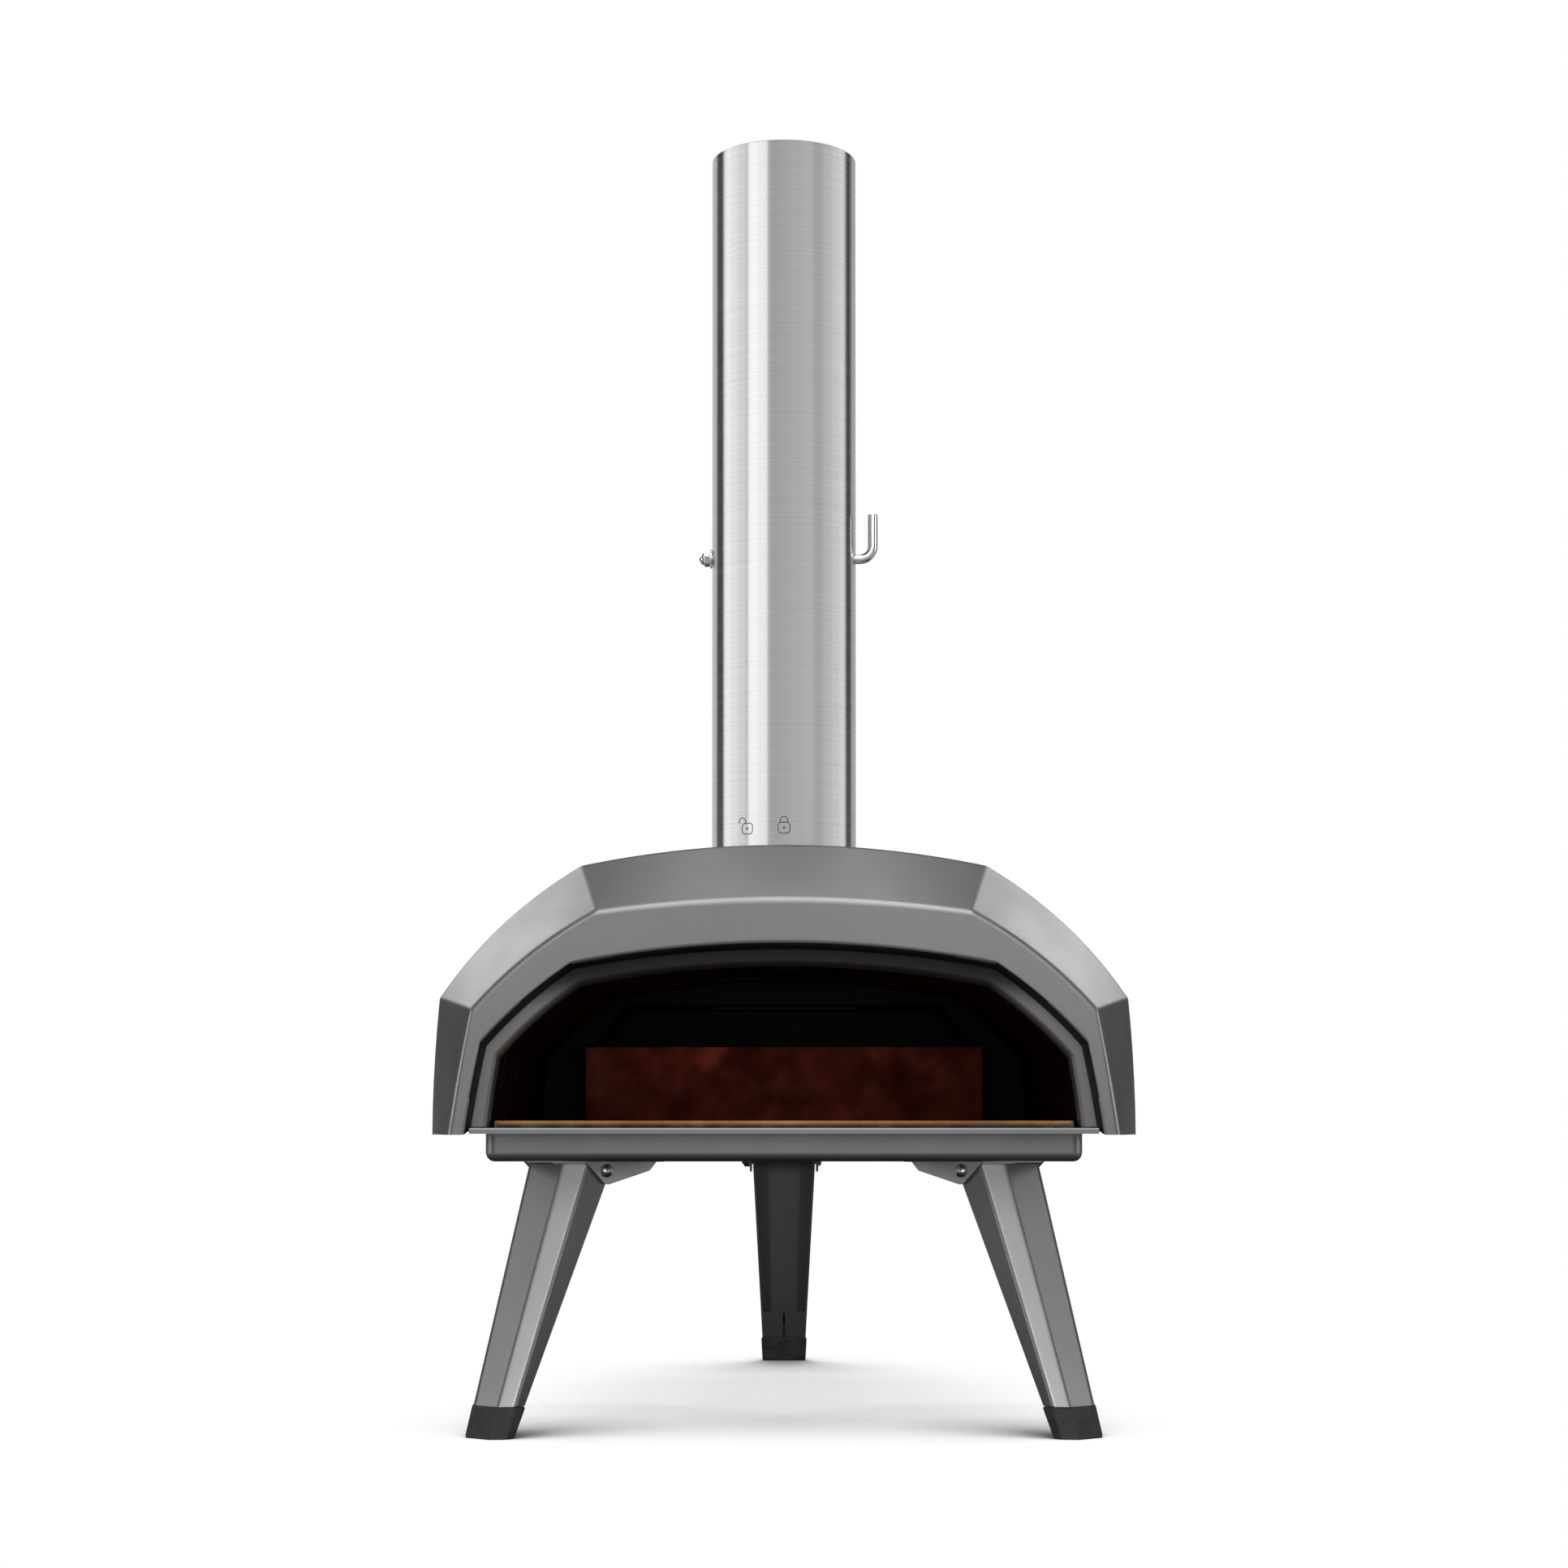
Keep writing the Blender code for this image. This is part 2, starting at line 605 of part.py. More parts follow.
def build_chimney():
    bore = FLUE_R - FLUE_WALL
    profile = [(bore, FLUE_BASE), (FLUE_R, FLUE_BASE), (FLUE_R, FLUE_TOP), (bore, FLUE_TOP)]
    tube = turned("chimney_tube", profile, flue_point(0), (0, 0, 1), "brushed_steel", 64)
    lugs = []
    for angle in lug_angles():
        inner, outer = polar(0.0428, angle), polar(0.0445, angle)
        centre = Vector(flue_point(LUG_Z))
        lugs.append(rod_of(centre + Vector((*inner, 0)), centre + Vector((*outer, 0)), 0.0024,
                           segments=16))
    join(tube, *lugs)
    centre = Vector(flue_point(DAMPER_Z))
    across = Vector((0.06, 0, 0))
    cut(tube, rod_of(centre - across, centre + across, ROD_R + 0.0003, segments=24))
    hang_on("chimney_twist_origin", flue_point(FLUE_BASE), tube)
    return tube


def build_damper():
    centre = Vector(flue_point(DAMPER_Z))
    at = lambda x, y, z: centre + Vector((x, y, z))
    rod = bent_rod("damper_rod", [at(-0.0505, 0, 0), at(HANDLE_X, 0, 0),
                                  at(HANDLE_X, 0, HANDLE_TOP - DAMPER_Z)], ROD_R, 0.008,
                   "bright_steel", 16, 8)
    near, far = ROD_R + GAP, ROD_R + GAP + 0.0012
    plate = turned("damper_plate", [(0, near), (DAMPER_PLATE_R, near), (DAMPER_PLATE_R, far),
                                    (0, far)], centre, (0, 1, 0), "brushed_steel", 48)
    screws, holes = [], []
    for x, word in ((-0.022, "left"), (0.022, "right")):
        profile = [(0, -0.0032), (0.0011, -0.0032), (0.0011, far + GAP), (0.0030, far + GAP),
                   (0.0030, far + 0.0012), (0.0020, far + 0.0020), (0, far + 0.0020)]
        screws.append(turned("damper_screw_" + word, profile, at(x, 0, 0), (0, 1, 0),
                             "bright_steel", 12))
        holes.append((at(x, -0.006, 0), at(x, 0.008, 0)))
    cut(plate, *[rod_of(a, b, 0.0014, segments=12) for a, b in holes])
    cut(rod, *[rod_of(a, b, 0.0014, segments=12) for a, b in holes])
    ring_profile = [(0.0034, 0.0453), (0.0058, 0.0453), (0.0058, 0.0463), (0.0034, 0.0463)]
    washer = turned("damper_washer", ring_profile, centre, (-1, 0, 0), "bright_steel", 20)
    hexagon = turned("damper_cap_nut", [(0, 0.0466), (0.0048, 0.0466), (0.0048, 0.0498),
                                        (0.0042, 0.0502), (0, 0.0502)], centre, (-1, 0, 0),
                     "bright_steel", 6)
    dome = turned("dome", [(0, 0.0480), (0.0037, 0.0480), (0.0037, 0.0504), (0.0031, 0.0518),
                           (0.0018, 0.0528), (0, 0.0531)], centre, (-1, 0, 0), None, 16)
    nut = cut(join(hexagon, dome), rod_of(at(-0.040, 0, 0), at(-0.0508, 0, 0), 0.0033,
                                          segments=16))
    hang_on("damper_turn_origin", centre, rod, plate, washer, nut, *screws)


# ---------------------------------------------------------------- legs
def leg_value(pair, height):
    top, low = LEG_FIT
    return pair[0] + (pair[1] - pair[0]) * (top - height) / (top - low)


def leg_path(height, extra=0.0, trim=0.0):
    """The channel's outer outline (outward, sideways) at a height, from flange edge to flange edge."""
    web = leg_value(LEG_WEB, height) / 2
    run = leg_value(LEG_CHAMFER, height) / math.sqrt(2)
    depth = leg_value(LEG_FLANGE, height) - trim
    lead = LEG_SPLAY * (LEG_FIT[0] - height)
    half = [(lead - run - depth, web + run + extra), (lead - run, web + run + extra),
            (lead + extra, web)]
    return half + [(u, -v) for u, v in half[::-1]]


def leg_places():
    """Name, plan position of the web's top centre, outward and sideways directions."""
    turn = math.radians(FRONT_TURN)
    x, depth = FRONT_LEG
    out, across = math.sin(turn), math.cos(turn)
    return (("front_left", (-x, depth), (-out, -across), (across, -out)),
            ("front_right", (x, depth), (out, -across), (-across, -out)),
            ("rear", (0.0, REAR_LEG_DEPTH), (0.0, 1.0), (1.0, 0.0)))


def channel_outline(height, trim):
    """Closed outline of the bent sheet: outside with soft bends, then the inside back again."""
    outer = [Vector(p) for p in leg_path(height, 0.0, trim)]
    soft = [outer[0]]
    for before, here, after in zip(outer, outer[1:], outer[2:]):
        back, ahead = (before - here).normalized(), (after - here).normalized()
        reach = 0.0014
        soft += [here + back * reach, soft_corner(here + back * reach, here, here + ahead * reach),
                 here + ahead * reach]
    soft.append(outer[-1])
    inner = []
    for i, here in enumerate(soft):
        ahead = (soft[min(i + 1, len(soft) - 1)] - here).normalized()
        behind = (here - soft[max(i - 1, 0)]).normalized()
        normals = [Vector((d.y, -d.x)) for d in (ahead, behind) if d.length > 0.5]
        mean = sum(normals, Vector((0.0, 0.0))).normalized()
        inner.append(here + mean * (LEG_SHEET / max(0.5, mean.dot(normals[0]))))
    middle = sum(soft, Vector((0.0, 0.0))) / len(soft)
    if (inner[7] - middle).length > (soft[7] - middle).length:
        inner = [here * 2 - there for here, there in zip(soft, inner)]
    return soft + inner[::-1]


def build_leg(word, base, out, side):
    out, side = Vector((*out, 0)), Vector((*side, 0))
    origin = Vector((base[0], RIDGE_Y + base[1], 0))

    def spot(u, v, z):
        return origin + out * u + side * v + Vector((0, 0, z))

    levels = ((LEG_TOP, 0.0036), (LEG_TOP - 0.0022, 0.0016), (LEG_TOP - 0.0050, 0.0),
              (LEG_CLOSED, 0.0), (LEG_LOW, 0.0))
    outlines = [[spot(p.x, p.y, z) for p in channel_outline(z, trim)] for z, trim in levels]
    leg = loft("leg_" + word, outlines, "powder_coat")
    lips = []
    for sign in (-1, 1):
        ends = []
        for z in (LEG_CLOSED, LEG_LOW):
            edge, wide = leg_path(z)[0]
            corners = [(edge, wide - 0.0004), (edge, 0.0009), (edge + LEG_SHEET, 0.0009),
                       (edge + LEG_SHEET, wide - 0.0004)]
            ends.append([spot(u, sign * v, z) for u, v in corners])
        lips.append(loft("lip", ends, None))
    join(leg, *lips)
    pivot = spot(-PIVOT_BACK, 0, PIVOT_Z)
    cut(leg, rod_of(pivot - side * 0.04, pivot + side * 0.04, PIVOT_HOLE, segments=24))

    def foot_level(z, extra):
        path = leg_path(z, extra)
        return [spot(u - (extra if abs(i - 2.5) > 2 else 0), v, z)
                for i, (u, v) in enumerate(path)]

    def plug_level(z):
        inset = LEG_SHEET + 0.0012
        path = leg_path(z, -inset)
        return [spot(u + (inset if abs(i - 2.5) > 2 else 0), v, z)
                for i, (u, v) in enumerate(path)]

    rubber = loft("foot_" + word, [foot_level(0.0, 0.0002), foot_level(0.0012, 0.0009),
                                   foot_level(LEG_LOW - 0.0010, 0.0009),
                                   foot_level(LEG_LOW - GAP, 0.0005),
                                   plug_level(LEG_LOW - GAP + 1e-5), plug_level(0.029)], "rubber")
    hang_on(f"leg_{word}_fold_origin", pivot, leg, rubber)
    return pivot, out, side


def build_bracket(word, pivot, out, side):
    """A clevis of bent sheet under the pan, with its pivot screw and nut."""
    inward = -out
    base = Vector((pivot.x, pivot.y, 0))
    top = PAN_BOTTOM - GAP
    ear = [(-0.018, top), (-0.018, top - 0.0012), (-0.0015, PAN_BOTTOM - 0.0144),
           (0.0025, PAN_BOTTOM - 0.0146), (0.039, PAN_BOTTOM - 0.0070), (0.047, top)]
    frame = (base, inward, (0, 0, 1), side)
    bracket = slab("bracket_" + word, ear, frame, EAR_IN, EAR_IN + EAR_SHEET, "powder_coat")
    pieces = [slab("ear", ear, frame, -EAR_IN - EAR_SHEET, -EAR_IN)]
    skim = top - 0.0001
    strip = [(-0.0172, top - 0.0014), (-0.0068, top - 0.0014), (-0.0068, skim), (-0.0172, skim)]
    pieces.append(slab("bridge", strip, frame, -EAR_IN - 0.0008, EAR_IN + 0.0008))
    tab = [(0.004, top - 0.0013), (0.038, top - 0.0013), (0.038, skim), (0.004, skim)]
    for sign in (-1, 1):
        low, high = sorted((sign * (EAR_IN + 0.0006), sign * (EAR_IN + 0.014)))
        pieces.append(slab("tab", tab, frame, low, high))
    for piece in pieces:
        join(bracket, piece)
    cut(bracket, rod_of(pivot - side * 0.04, pivot + side * 0.04, PIVOT_HOLE, segments=24))
    face = EAR_IN + EAR_SHEET + GAP
    head = [(0, -face - 0.0055), (PIVOT_R, -face - 0.0055), (PIVOT_R, face), (0.0040, face),
            (0.0040, face + 0.0012), (0.0030, face + 0.0026), (0.0018, face + 0.0016),
            (0.0015, face + 0.0012), (0, face + 0.0012)]
    turned("pivot_screw_" + word, head, pivot, side, "bright_steel", 24)
    nut = [(PIVOT_HOLE, -face - 0.0042), (PIVOT_HOLE, -face), (0.0044, -face),
           (0.0044, -face - 0.0036), (0.0038, -face - 0.0042)]
    turned("pivot_nut_" + word, nut, pivot, side, "bright_steel", 24)


# ---------------------------------------------------------------- firebox, tray, hatch
def firebox_outline(grow):
    """(x, z) section of the rear firebox, with cut-off top corners."""
    shape = [(-BOX_HALF, SEAT_Z), (BOX_HALF, SEAT_Z), (BOX_HALF, 0.236), (0.112, 0.265),
             (-0.112, 0.265), (-BOX_HALF, 0.236)]
    return [(p.x, p.y) for p in grown(shape, grow)]


def build_firebox():
    upright = ((0, RIDGE_Y, 0), (1, 0, 0), (0, 0, 1), (0, 1, 0))
    front = REAR_PLATE + SHEET + GAP
    housing = slab("firebox_housing", firebox_outline(0.0), upright, front, BOX_BACK, "powder_coat")
    rim = [(-0.147, SEAT_Z), (0.147, SEAT_Z), (0.147, 0.2396), (0.1155, 0.2745),
           (-0.1155, 0.2745), (-0.147, 0.2396)]
    join(housing, slab("rim", rim, upright, front, front + 0.0014))
    hollow = slab("hollow", firebox_outline(-0.0015), upright, front - 0.01, BOX_BACK - 0.0015)
    door = box("door", (-0.1225, 0.55, 0.1788), (0.1225, 0.57, 0.2265))
    half, near, far = HATCH
    chute = box("chute", (-half + 0.002, near + 0.002, 0.255), (half - 0.002, far - 0.002, 0.28))
    cut(housing, hollow, door, chute)
    neck = box("hatch_neck", (-half, near, 0.265 + GAP), (half, far, 0.287), "powder_coat")
    cut(neck, box("bore", (-half + 0.0015, near + 0.0015, 0.26),
                  (half - 0.0015, far - 0.0015, 0.29)))
    guard = box("fuel_guard", (-BOX_HALF, BOX_FRONT, SEAT_Z), (BOX_HALF, 0.4300, GUARD_TOP),
                "liner_steel")
    cut(guard, box("hollow", (-BOX_HALF + 0.0015, BOX_FRONT + 0.0015, SEAT_Z + 0.0015),
                   (BOX_HALF - 0.0015, 0.44, 0.25)))
    return housing, neck, guard


def build_tray():
    low, high = 0.1792, 0.222
    back = BOX_BACK + 0.0001
    tray = box("fuel_tray", (-TRAY_HALF, TRAY_FRONT, low), (TRAY_HALF, back, high), "liner_steel")
    cutters = [box("hollow", (-TRAY_HALF + 0.0015, TRAY_FRONT + 0.0015, low + 0.0015),
                   (TRAY_HALF - 0.0015, back - 0.0015, high + 0.01))]
    for k in range(9):
        x = -0.096 + 0.024 * k
        for near in (0.392, 0.476):
            cutters.append(box("slot", (x - 0.004, near, 0.17), (x + 0.004, near + 0.068, 0.19)))
    cut(tray, *cutters)
    face = box("tray_face", (-0.129, back + GAP, 0.1792), (0.129, back + GAP + 0.0015, 0.240),
               "powder_coat")
    vents = [box("vent", (-0.0985 + 0.022 * k, 0.55, 0.226), (-0.0855 + 0.022 * k, 0.57, 0.231))
             for k in range(9)]
    cut(face, *vents)
    skin_back = back + GAP + 0.0015
    grip_z = 0.208
    corner = lambda x, depth: (x, RIDGE_Y + depth, grip_z)
    start = skin_back + 0.0042
    handle = bent_rod("tray_handle", [corner(-0.042, start), corner(-0.042, 0.617),
                                      corner(0.042, 0.617), corner(0.042, start)], 0.003, 0.012,
                      "bright_steel", 14, 5)
    bosses = []
    for x, word in ((-0.042, "left"), (0.042, "right")):
        profile = [(0, GAP), (0.0060, GAP), (0.0060, 0.0016), (0.0050, 0.0038), (0, 0.0038)]
        place = (x, RIDGE_Y + skin_back, grip_z)
        bosses.append(turned("tray_boss_" + word, profile, place, (0, 1, 0), "bright_steel", 18))
    place = (0, RIDGE_Y + (TRAY_FRONT + back) / 2, low)
    hang_on("tray_slide_origin", place, tray, face, handle, *bosses)


def build_hatch():
    half, near, far = HATCH
    reach = 0.0045
    low, high = 0.2795, 0.2890
    shape = [(-half - reach, near - reach), (half + reach, near - reach),
             (half + reach, far + reach), (-half - reach, far + reach)]
    edge = rounded(shape, 0.006)
    top_edge = grown(edge, -0.0012)
    hollow = rounded(grown(shape, -0.0015), 0.0048)
    levels = [plan_level(edge, low), plan_level(edge, high - 0.0012), plan_level(top_edge, high)]
    lid = loft("hatch_lid", levels, "powder_coat")
    inside = loft("inside", [plan_level(hollow, low - 0.005), plan_level(hollow, high - 0.0015)],
                  None)
    cut(lid, inside)
    middle = (near + far) / 2
    at = lambda x, z: (x, RIDGE_Y + middle, z)
    start = high + 0.0044
    handle = bent_rod("hatch_handle", [at(-0.034, start), at(-0.034, 0.322), at(0.034, 0.322),
                                       at(0.034, start)], 0.003, 0.012, "bright_steel", 14, 5)
    bosses = []
    for x, word in ((-0.034, "left"), (0.034, "right")):
        profile = [(0, GAP), (0.0060, GAP), (0.0060, 0.0030), (0.0050, 0.0040), (0, 0.0040)]
        bosses.append(turned("hatch_boss_" + word, profile, at(x, high), (0, 0, 1),
                             "bright_steel", 18))
    hang_on("hatch_lift_origin", at(0, low), lid, handle, *bosses)


# ---------------------------------------------------------------- the whole oven
build_hood()
build_mouth_frame()
build_shell()
build_rear_plate()
build_liner()
build_insulation()
build_pan()
build_sill()
build_stone()
build_collar()
build_chimney()
build_damper()
for leg_word, leg_base, leg_out, leg_side in leg_places():
    build_bracket(leg_word, *build_leg(leg_word, leg_base, leg_out, leg_side))
build_firebox()
build_tray()
build_hatch()
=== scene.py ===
"""Looks of a portable wood fired pizza oven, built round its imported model.

Metres, +Z up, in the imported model's frame: the mouth faces -Y and the floor is z = 0.
Depths are measured from the plane of the hood's widest section, as they are in the model.
"""

import math

import bmesh
import bpy
import numpy as np
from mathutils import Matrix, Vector


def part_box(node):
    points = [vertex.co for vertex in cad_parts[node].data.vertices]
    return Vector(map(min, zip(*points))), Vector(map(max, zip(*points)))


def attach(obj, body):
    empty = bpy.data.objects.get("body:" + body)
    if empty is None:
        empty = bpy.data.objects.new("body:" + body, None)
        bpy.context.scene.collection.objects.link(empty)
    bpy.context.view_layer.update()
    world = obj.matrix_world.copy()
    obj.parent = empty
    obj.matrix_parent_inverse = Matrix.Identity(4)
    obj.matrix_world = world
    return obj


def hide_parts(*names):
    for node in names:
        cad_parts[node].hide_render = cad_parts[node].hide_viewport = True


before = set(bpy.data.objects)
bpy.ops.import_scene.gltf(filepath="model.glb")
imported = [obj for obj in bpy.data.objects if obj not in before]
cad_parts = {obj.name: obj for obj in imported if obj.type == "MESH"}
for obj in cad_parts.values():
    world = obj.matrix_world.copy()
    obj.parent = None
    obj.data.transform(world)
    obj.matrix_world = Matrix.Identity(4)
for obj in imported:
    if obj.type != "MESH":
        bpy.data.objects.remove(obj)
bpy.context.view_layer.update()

# ---------------------------------------------------------------- driving dimensions, metres
RIDGE_Y = -0.2875          # plane of the hood's widest section
SHEET = 0.0016
THIN = 0.0012
FOOT_Z = 0.173
SEAT_Z = 0.1773
BEND = 0.0014              # reach of the bends between facets
CLEAR = 0.0003             # air between pieces that move or only lie together
BOLT_HOLE = 0.00265
RIGHT_ANGLE = math.pi / 2

# Arched sections: half-width and height of each corner, crown height, and how far the sides bulge.
RIDGE = dict(foot=(0.200, FOOT_Z), side=(0.196, 0.2505), shoulder=(0.1153, 0.3262), crown=0.3382,
             side_bow=0.0009, shoulder_bow=0.0062)
LIP = dict(foot=(0.186, FOOT_Z), side=(0.1733, 0.2428), shoulder=(0.1037, 0.2971), crown=0.3043,
           side_bow=0.0005, shoulder_bow=0.0040)
FACE = dict(foot=(0.1766, FOOT_Z), side=(0.1679, 0.2235), shoulder=(0.1185, 0.2675), crown=0.2789,
            side_bow=0.0004, shoulder_bow=0.0021)
RETURN = dict(FACE, foot=(0.1766, SEAT_Z))
MOUTH = dict(foot=(0.1665, SEAT_Z), side=(0.1606, 0.2168), shoulder=(0.1145, 0.2576), crown=0.2688,
             side_bow=0.0004, shoulder_bow=0.0021)
REAR = dict(foot=(0.184, FOOT_Z), side=(0.176, 0.244), shoulder=(0.108, 0.302), crown=0.312,
            side_bow=0.0008, shoulder_bow=0.0045)

LIP_DEPTH = -0.045
HOOD_BACK = 0.012
RETURN_BACK = -0.0342
FRAME_DEPTH = -0.0336
FRAME_BACK = -0.018
SHELL_FRONT = 0.003
SHELL_KNEE = 0.360
SHELL_BACK = 0.434

PAN_HALF = 0.167
PAN_BOTTOM = 0.158
PAN_TOP = 0.1745
PAN_FRONT = -0.030
PAN_KNEE = 0.430
PAN_BACK = 0.515
PAN_NECK = 0.100

FLUE_DEPTH = 0.163
FLUE_R = 0.045
FLUE_WALL = 0.001
FLUE_BASE = 0.345
FLUE_TOP = 0.784
DAMPER_Z = 0.533
ROD_R = 0.003
HANDLE_X = 0.0557
HANDLE_TOP = 0.561

LEG_TOP = 0.1558
LEG_LOW = 0.018
LEG_CLOSED = 0.038
LEG_SHEET = 0.0015
LEG_SPLAY = 0.3664
LEG_FIT = (0.150, 0.018)
LEG_WEB = (0.0254, 0.0187)
LEG_CHAMFER = (0.0142, 0.0097)
LEG_FLANGE = (0.0220, 0.0083)
PIVOT_Z = 0.1515
PIVOT_BACK = 0.027
FRONT_LEG = (0.1403, 0.050)
FRONT_TURN = 38.0
REAR_LEG_DEPTH = 0.507
EAR_IN = 0.0234
EAR_SHEET = 0.0015

GREY = "powder_coat"
BRUSHED = "brushed_steel"
LINER = "liner_steel"
BRIGHT = "bright_steel"
RUBBER = "rubber"
STONE = "baking_stone"
WOOL = "ceramic_wool"


# ---------------------------------------------------------------- materials
COAT_METAL = 0.85
COAT = (0.240, 0.262)              # darkest and lightest greys of the coat
# The mouth frame's greys run from its foot to its arch: painted shade under the hood's overhang,
# with some smoke staining.
FRAME_SHADE_AND_SMOKE = (0.205, 0.030)            # the mouth frame, from its foot to its arch
SOOT = (0.006, 0.016)              # where the fire has blackened it
MIX_A, MIX_B, MIX_RESULT = 6, 7, 2     # the Mix node's colour sockets


class Tree:
    """A node tree being made. Each input of a new node is an output to link or a value to set."""

    def __init__(self, tree):
        self.tree = tree

    def feed(self, socket, value):
        if isinstance(value, bpy.types.NodeSocket):
            self.tree.links.new(value, socket)
        else:
            socket.default_value = value

    def add(self, kind, inputs=(), **settings):
        made = self.tree.nodes.new("ShaderNode" + kind)
        for key, value in settings.items():
            setattr(made, key, value)
        for key, value in dict(inputs).items():
            self.feed(made.inputs[key], value)
        return made

    def map_range(self, value, start, end, low=0.0, high=1.0, **settings):
        """An even change from low to high as a value passes from start to end."""
        made = self.add("MapRange", {"Value": value, "From Min": start, "From Max": end,
                                     "To Min": low, "To Max": high}, **settings)
        return made.outputs["Result"]

    def by_viewer(self, kind, seen, cast, output):
        """White light of one strength to the camera and of another to everything else."""
        ends = [self.add(kind, {"Color": (1, 1, 1, 1), "Strength": value}).outputs[0]
                for value in (cast, seen)]
        path = self.add("LightPath").outputs["Is Camera Ray"]
        mix = self.add("MixShader", {"Fac": path, 1: ends[0], 2: ends[1]})
        self.add(output, {"Surface": mix.outputs["Shader"]})


def shade(value):
    """What a colour socket takes, from an output, a grey or a colour."""
    if isinstance(value, bpy.types.NodeSocket):
        return value
    return (*value, 1) if isinstance(value, tuple) else (value, value, value, 1)


class Look(Tree):
    """A material being made round its Principled shader."""

    def __init__(self, name, metallic, roughness, **constants):
        self.material = bpy.data.materials.new(name)
        self.material.use_nodes = True
        super().__init__(self.material.node_tree)
        self.shader = self.tree.nodes["Principled BSDF"]
        constants.update(Metallic=metallic, Roughness=roughness)
        for socket, value in constants.items():
            self.shader.inputs[socket.replace("_", " ")].default_value = value
        self.place = self.add("TexCoord").outputs["Object"]

    def noise(self, scale, stretch=(1, 1, 1), detail=3.0, rough=0.55, distortion=0.0):
        """Noise with features 1 / scale metres across, divided by the stretch along each axis."""
        mapping = self.add("Mapping", {"Scale": stretch, "Vector": self.place})
        made = self.add("TexNoise", {"Scale": scale, "Detail": detail, "Roughness": rough,
                                     "Distortion": distortion,
                                     "Vector": mapping.outputs["Vector"]})
        return made.outputs["Fac"]

    def cells(self, scale):
        return self.add("TexVoronoi", {"Scale": scale, "Vector": self.place}).outputs["Distance"]

    def climb(self, axis, start, end):
        """From 0 to 1 as the place along an axis passes from start to end."""
        split = self.add("SeparateXYZ", {"Vector": self.place})
        return self.map_range(split.outputs[axis], start, end)

    def ramp(self, fac, low, high, start=0.3, end=0.7):
        """A smooth change from one grey or colour to another as fac passes from start to end."""
        made = self.add("ValToRGB", {"Fac": fac})
        made.color_ramp.interpolation = "EASE"
        for stop, place, value in zip(made.color_ramp.elements, (start, end), (low, high)):
            stop.position = place
            stop.color = shade(value)
        return made.outputs["Color"]

    def mix(self, fac, first, second, blend="MIX"):
        made = self.add("Mix", {"Factor": fac, MIX_A: shade(first), MIX_B: shade(second)},
                        data_type="RGBA", blend_type=blend)
        return made.outputs[MIX_RESULT]

    def peel(self):
        """The coat's orange-peel skin, as a layer of relief."""
        return self.noise(520.0, detail=1.5), 0.05, 0.0004

    def done(self, colour, roughness, *relief):
        """Plugs in what varies, and stacks the (height, strength, metres) layers of relief."""
        self.feed(self.shader.inputs["Base Color"], colour)
        if roughness:
            self.feed(self.shader.inputs["Roughness"], roughness)
        below = {}
        for height, strength, distance in relief:
            made = self.add("Bump", {"Strength": strength, "Distance": distance,
                                     "Height": height, **below})
            below = {"Normal": made.outputs["Normal"]}
        self.feed(self.shader.inputs["Normal"], below["Normal"])
        return self.material


def coat_look():
    """Satin grey powder coat: an orange-peel skin, a fine metallic fleck and slight cloudiness."""
    look = Look("satin_grey_coat", COAT_METAL, 0.40)
    fleck = look.noise(2600.0, detail=1.0)
    tone = look.ramp(look.noise(7.0, detail=2.0), *COAT)
    return look.done(look.mix(0.10, tone, look.ramp(fleck, 0.75, 1.25, 0.40, 0.62), "MULTIPLY"),
                     look.ramp(look.noise(42.0, detail=4.0), 0.355, 0.405, 0.25, 0.75),
                     look.peel(), (fleck, 0.04, 0.0001))


def frame_shade_and_smoke_look():
    """The same coat, darker the nearer to the arch: painted shade under the hood's overhang, with
    some smoke staining.
    """
    look = Look("coat_painted_shade_and_smoke", COAT_METAL, 0.42)
    cloud = look.noise(30.0, detail=5.0, rough=0.6)
    # Painted shade: the coat darkens from z 0.238 up to 0.268, under the hood's overhang.
    ragged = look.mix(0.16, look.climb("Z", 0.238, 0.268), cloud)
    return look.done(look.ramp(ragged, *FRAME_SHADE_AND_SMOKE, 0.10, 0.80),
                     look.ramp(ragged, 0.40, 0.55, 0.2, 0.8), look.peel(), (cloud, 0.05, 0.0003))


def shaded_look():
    """The coat on the faces turned in towards the fire: painted shade in the hood's return, with
    fine soot.
    """
    look = Look("smoked_coat_painted_shade", COAT_METAL, 0.45)
    cloud = look.noise(24.0, detail=5.0, rough=0.6)
    return look.done(look.ramp(cloud, 0.016, 0.040), None,
                     (look.noise(700.0, detail=2.0), 0.08, 0.0003))


def half_smoked_look(name, coated):
    """Coat on one side and black soot on the other: coated(look) tells them apart."""
    look = Look(name, COAT_METAL, 0.42)
    cloud = look.noise(26.0, detail=5.0, rough=0.6)
    colour = look.mix(coated(look), look.ramp(cloud, *SOOT), look.ramp(cloud, *COAT))
    return look.done(colour, look.ramp(cloud, 0.36, 0.46), look.peel())


def outside_firebox(look):
    """1 on every face of the firebox that is turned away from its middle."""
    low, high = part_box("firebox_housing")
    arm = look.add("VectorMath", {0: look.place, 1: (low + high) / 2}, operation="SUBTRACT")
    normal = look.add("NewGeometry").outputs["True Normal"]
    facing = look.add("VectorMath", {0: arm.outputs["Vector"], 1: normal},
                      operation="DOT_PRODUCT")
    return look.map_range(facing.outputs["Value"], -0.001, 0.001)


def behind_plate(look):
    """1 on the rear face of the rear plate."""
    low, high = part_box("rear_plate")
    return look.ramp(look.climb("Y", low.y, high.y), 0.0, 1.0, 0.45, 0.55)


